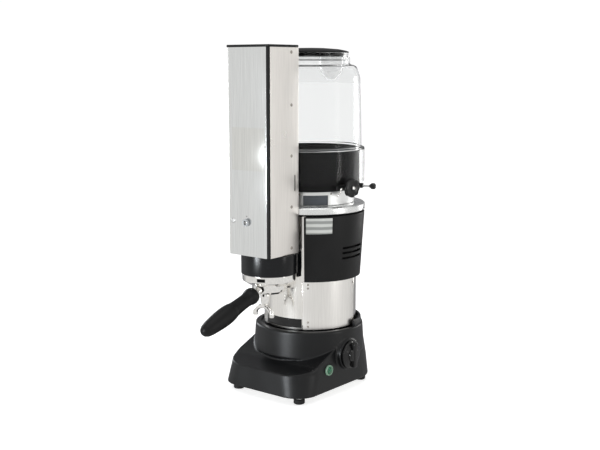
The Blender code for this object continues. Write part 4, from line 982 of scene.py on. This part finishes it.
# ---- group and portafilter ----------------------------------------------------------------------
def build_group():
    radius, low, high = GROUP_RADIUS, GROUP_BOTTOM, GROUP_HIGH.z
    centre = (0, GROUP_Y, 0)
    housing = turned("group_body", [
        (0, high), (radius, high, 0.8), (radius, low, 1.0), (0, low)], steps=4, centre=centre,
        segments=160)
    combine(housing, block("saddle", (-39, GROUP_Y, low), (39, -74, high), 0), "UNION")
    for sign in (1, -1):
        edges = sorted((sign * 30, sign * 38.6))
        combine(housing, block("cheek", (edges[0], -99, 216), (edges[1], -70, 250), 0), "UNION")
    combine(housing, lathe("collar_room", [(0, low - 0.1), (RING_RADIUS + 0.4, low - 0.1),
                                           (RING_RADIUS + 0.4, 200), (0, 200)], centre=centre,
                           segments=120))
    combine(housing, lathe("column_room", [(0, 280), (TUBE_RADIUS + 0.8, 280),
                                           (TUBE_RADIUS + 0.8, 180), (0, 180)], segments=160))
    combine(housing, lathe("puck_room", [(0, 250), (28, 250), (28, 200), (0, 200)],
                           centre=centre, segments=80))
    combine(housing, lathe("tube_room", [(0, 280), (22, 280), (22, 240), (0, 240)],
                           centre=centre, segments=80))
    finished(soften(housing, 0.6, 3, 30), HOUSING, replaces=("group_housing",))

    collar = ring("group_ring", [
        (RING_RADIUS, low - 0.3, 0.6), (RING_RADIUS - 0.4, 213.4, 0.5), (47.4, 212.4, 0.3),
        (37.2, 206.0, 0.5), (32.2, 206.0, 0.4), (32.0, 210.6), (37, 210.6), (37, 219.8),
        (31.5, 219.8), (31.5, low - 0.3)], steps=5, centre=centre,
        segments=160)
    combine(collar, lathe("ring_room", [(0, 280), (TUBE_RADIUS + 1.7, 280),
                                        (TUBE_RADIUS + 1.7, 180), (0, 180)], segments=160))
    combine(collar, block("ring_gap", (-25, -100, 190), (25, -60, 240), 0))
    for deg, z0, z1, near, half in ((-45, 200, 211.5, 25, 8.5), (135, 200, 211.5, 25, 8.5),
                                    (-67.5, 215.8, 221.6, 42, 7.4),
                                    (-66.5, 208.2, 209.8, 38.5, 4.6)):
        combine(collar, block("ring_cut", (near, -half, z0), (60, half, z1), 0, turn_deg=deg,
                              centre=centre))
    finished(soften(collar, 0.3, 2, 40), CHROME, replaces=("group_collar",))
    # Painted shade: a dark sheet inside the lock window makes the window read dark.
    lock_shade = lathe("lock_window_painted_shade", [(43.2, 222.4), (43.2, 215.0), (42.4, 215.0),
                                        (42.4, 222.4)], closed=True, centre=centre, segments=24,
                  start_deg=-79, sweep_deg=23)
    finished(lock_shade, SHADE_AND_MARK_BLACK)


def build_portafilter():
    centre = (0, GROUP_Y, 0)
    body = "portafilter"
    head = turned("portafilter_bowl", [
        (0, 217.8), (30.7, 217.8, 0.5), (30.7, 207.4, 0.4), (31.0, 206.4, 0.5),
        (31.0, 197.8, 3), (29.4, 193.6, 3), (26.6, 190.4, 1.5), (25.2, 189.6, 0.6),
        (0, 189.6)], steps=5, centre=centre, segments=140)
    for sign in (1, -1):
        edges = sorted((sign * 26, sign * 35.6))
        combine(head, block("ear", (edges[0], GROUP_Y - 7, 211.6), (edges[1], GROUP_Y + 7, 217.0),
                            0), "UNION")
    drop = math.radians(18.7)
    way = Vector((0, -math.cos(drop), -math.sin(drop)))
    end = Vector((0, -157.4, 193.0))
    neck = turned("neck", [(0, 14), (6.9, 14, 0.3), (7.2, 11, 1), (6.9, 6, 3), (8.4, 0),
                                  (0, 0)], centre=end - way * 14, axis=way, segments=64)
    combine(head, neck, "UNION")
    combine(head, lathe("bowl_room", [(0, 230), (27.2, 230), (27.2, 193), (0, 193)],
                        centre=centre, segments=120))
    combine(head, lathe("outlet", [(0, 200), (5, 200), (5, 180), (0, 180)],
                        centre=(0, BOSS_Y, 0), segments=40))
    finished(soften(head, 0.4, 3, 30), CHROME, body, ("portafilter_head",))

    basket = ring("basket_cup", [
        (30.2, 219.3, 0.4), (30.2, 218.1, 0.3), (26.8, 218.1, 0.4), (26.4, 194.2, 1.5),
        (0.6, 194.2), (0.6, 195.2), (25.4, 195.2, 1.2), (25.8, 219.3, 0.5)], centre=centre, segments=120)
    finished(basket, CHROME, body, ("filter_basket",))

    boss = turned("spout_boss", [
        (0, 189.3), (8.4, 189.3, 0.5), (8.8, 184, 2), (8.0, 176, 2), (6.8, 168, 1.5),
        (0, 165.5)], centre=(0, BOSS_Y, 0), segments=64)
    arch = [(-19, SPOUT_Y, 148.6)]
    for k in range(33):
        angle = math.pi * k / 32
        arch.append((-19 * math.cos(angle), SPOUT_Y, 152.0 + 14.6 * math.sin(angle)))
    arch.append((19, SPOUT_Y, 148.6))
    tube = pipe("spout_arch", arch, 4.2, 28, hollow=0.24)
    finished(joined("double_spout", [boss, tube]), CHROME, body, ("portafilter_spout",),
             60)

    length = 138.0
    start = end + way * 0.3
    handle = turned("handle_grip", [
        (0, length), (4.5, length - 0.7, 3), (8, length - 3.5, 3), (11.2, length - 9, 4),
        (13.0, 121, 6), (14.6, 107, 8), (15.7, 94, 8), (16.1, 82, 8), (15.9, 74, 5),
        (15.0, 65, 5), (13.3, 58, 5), (12.6, 48, 6), (12.1, 36, 6), (12.0, 26, 4),
        (12.7, 19, 3), (14.4, 14, 2.5), (14.8, 9, 2.5), (14.2, 5, 2), (12.6, 1.5, 1.4),
        (10.8, 0, 0.8), (0, 0)], steps=5, centre=start, axis=way, segments=96)
    finished(handle, GRIP, body, ("portafilter_handle",), 50)


# ---- carried-over CAD nodes ---------------------------------------------------------------------
def repaint_hidden_nodes():
    for material, names in (
            (INNER, ("base_plate", "tower_back_plate", "tower_floor", "motor_bracket")),
            (GREY, ("rotary_switch",)), (SLEEVE, ("run_capacitor",)), (WINDING, ("motor_stator",)),
            (CAST, ("motor_lower_bracket", "motor_upper_bracket", "chute", "adjust_ring",
                    "auger_gearbox")),
            (TOOL, ("lower_bearing", "upper_bearing", "rotor", "lower_burr", "upper_burr",
                    "auger_motor", "auger_tube", "auger_shaft", "auger_flight", "tamp_spring"))):
        for name in names:
            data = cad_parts[name].data
            data.materials.clear()
            data.materials.append(material)


# ---- stage --------------------------------------------------------------------------------------
def build_stage():
    """A pale floor under soft lights.

    The world lights the part by a gradient, and looks plain white to the camera and through the
    clear plastic. The floor is left out of reflections, so that the gradient is seen in them.
    """
    material, tree, shader = node_material("pale_floor")
    set_up(shader, (0.85, 0.85, 0.85), 0.6, Specular_IOR_Level=0.1)
    shader.inputs["Emission Color"].default_value = (1, 1, 1, 1)
    shader.inputs["Emission Strength"].default_value = 0.6
    bpy.ops.mesh.primitive_plane_add(size=60, location=(0, 0, 0))
    floor = bpy.context.object
    floor.name = "studio_floor"
    floor.data.materials.append(material)
    floor.visible_glossy = False

    world = bpy.data.worlds.new("studio_air")
    world.use_nodes = True
    bpy.context.scene.world = world
    tree = world.node_tree
    background = tree.nodes["Background"]
    place = tree.nodes.new("ShaderNodeTexCoord")
    facing = tree.nodes.new("ShaderNodeVectorMath")
    facing.operation = "DOT_PRODUCT"
    facing.inputs[1].default_value = (-0.62, 0.78, 0.0)
    ramp = tree.nodes.new("ShaderNodeValToRGB")
    ramp.color_ramp.elements[0].position = 0.35
    ramp.color_ramp.elements[0].color = (0.72, 0.72, 0.712, 1)
    ramp.color_ramp.elements[1].position = 0.72
    ramp.color_ramp.elements[1].color = (0.28, 0.28, 0.29, 1)
    tree.links.new(place.outputs["Generated"], facing.inputs[0])
    tree.links.new(facing.outputs["Value"], ramp.inputs["Fac"])
    tree.links.new(ramp.outputs["Color"], background.inputs["Color"])
    background.inputs["Strength"].default_value = 1.0
    white = tree.nodes.new("ShaderNodeBackground")
    white.inputs["Color"].default_value = (1, 1, 1, 1)
    white.inputs["Strength"].default_value = 1.03
    path = tree.nodes.new("ShaderNodeLightPath")
    straight = tree.nodes.new("ShaderNodeMath")
    straight.operation = "MAXIMUM"
    tree.links.new(path.outputs["Is Camera Ray"], straight.inputs[0])
    tree.links.new(path.outputs["Is Transmission Ray"], straight.inputs[1])
    mix = tree.nodes.new("ShaderNodeMixShader")
    tree.links.new(straight.outputs["Value"], mix.inputs["Fac"])
    tree.links.new(background.outputs["Background"], mix.inputs[1])
    tree.links.new(white.outputs["Background"], mix.inputs[2])
    tree.links.new(mix.outputs["Shader"], tree.nodes["World Output"].inputs["Surface"])

    # The azimuth is in degrees from the front, towards +X. Lengths are metres and power is watts.
    for name, azimuth, height, distance, size, power, colour in (
            ("left_softbox", -98, 0.62, 2.0, (0.7, 1.0), 12, (0.92, 0.96, 1.0)),
            ("front_softbox", -4, 0.22, 2.0, (0.34, 0.5), 11, (0.92, 0.96, 1.0)),
            ("right_softbox", 100, 0.45, 2.0, (0.4, 0.8), 4, (1.0, 0.99, 0.97)),
            ("low_strip", -12, 0.14, 2.0, (0.26, 0.2), 12, (0.90, 0.95, 1.0)),
            ("rear_softbox", 168, 0.50, 2.0, (0.42, 1.0), 6, (1.0, 0.99, 0.97)),
            ("top_softbox", 40, 2.4, 0.6, (1.6, 1.6), 8, (1.0, 1.0, 1.0))):
        lamp = bpy.data.lights.new(name, "AREA")
        lamp.shape = "RECTANGLE"
        lamp.size, lamp.size_y = size
        lamp.energy = power
        lamp.color = colour
        obj = bpy.data.objects.new(name, lamp)
        angle = math.radians(azimuth)
        obj.location = (AXIS.x + distance * math.sin(angle), AXIS.y - distance * math.cos(angle),
                        height)
        aim = Vector((AXIS.x, AXIS.y, 0.3)) - obj.location
        obj.rotation_euler = aim.to_track_quat("-Z", "Y").to_euler()
        bpy.context.scene.collection.objects.link(obj)


def build_camera():
    """A long lens at the front right, a little above, looking slightly down."""
    azimuth, tilt = math.radians(38.80), math.radians(8.876)
    camera = bpy.data.objects.new("camera", bpy.data.cameras.new("camera"))
    camera.data.sensor_width = 36.0
    camera.data.lens = 60.5
    place = AXIS + Vector((1137.96, -1446.54, 582.34)) * MM
    camera.location = place
    look = Vector((-math.sin(azimuth) * math.cos(tilt), math.cos(azimuth) * math.cos(tilt),
                   -math.sin(tilt)))
    camera.rotation_euler = look.to_track_quat("-Z", "Y").to_euler()
    camera.data.clip_start, camera.data.clip_end = 0.05, 200
    bpy.context.scene.collection.objects.link(camera)
    bpy.context.scene.camera = camera


build_camera()
build_stage()
build_base()
build_power_knob()
build_lamp()
build_gland()
build_column()
build_head()
build_adjuster()
build_gate()
build_hopper()
build_tower()
build_tower_controls()
build_group()
build_portafilter()
repaint_hidden_nodes()
bpy.context.scene.view_settings.view_transform = "Standard"
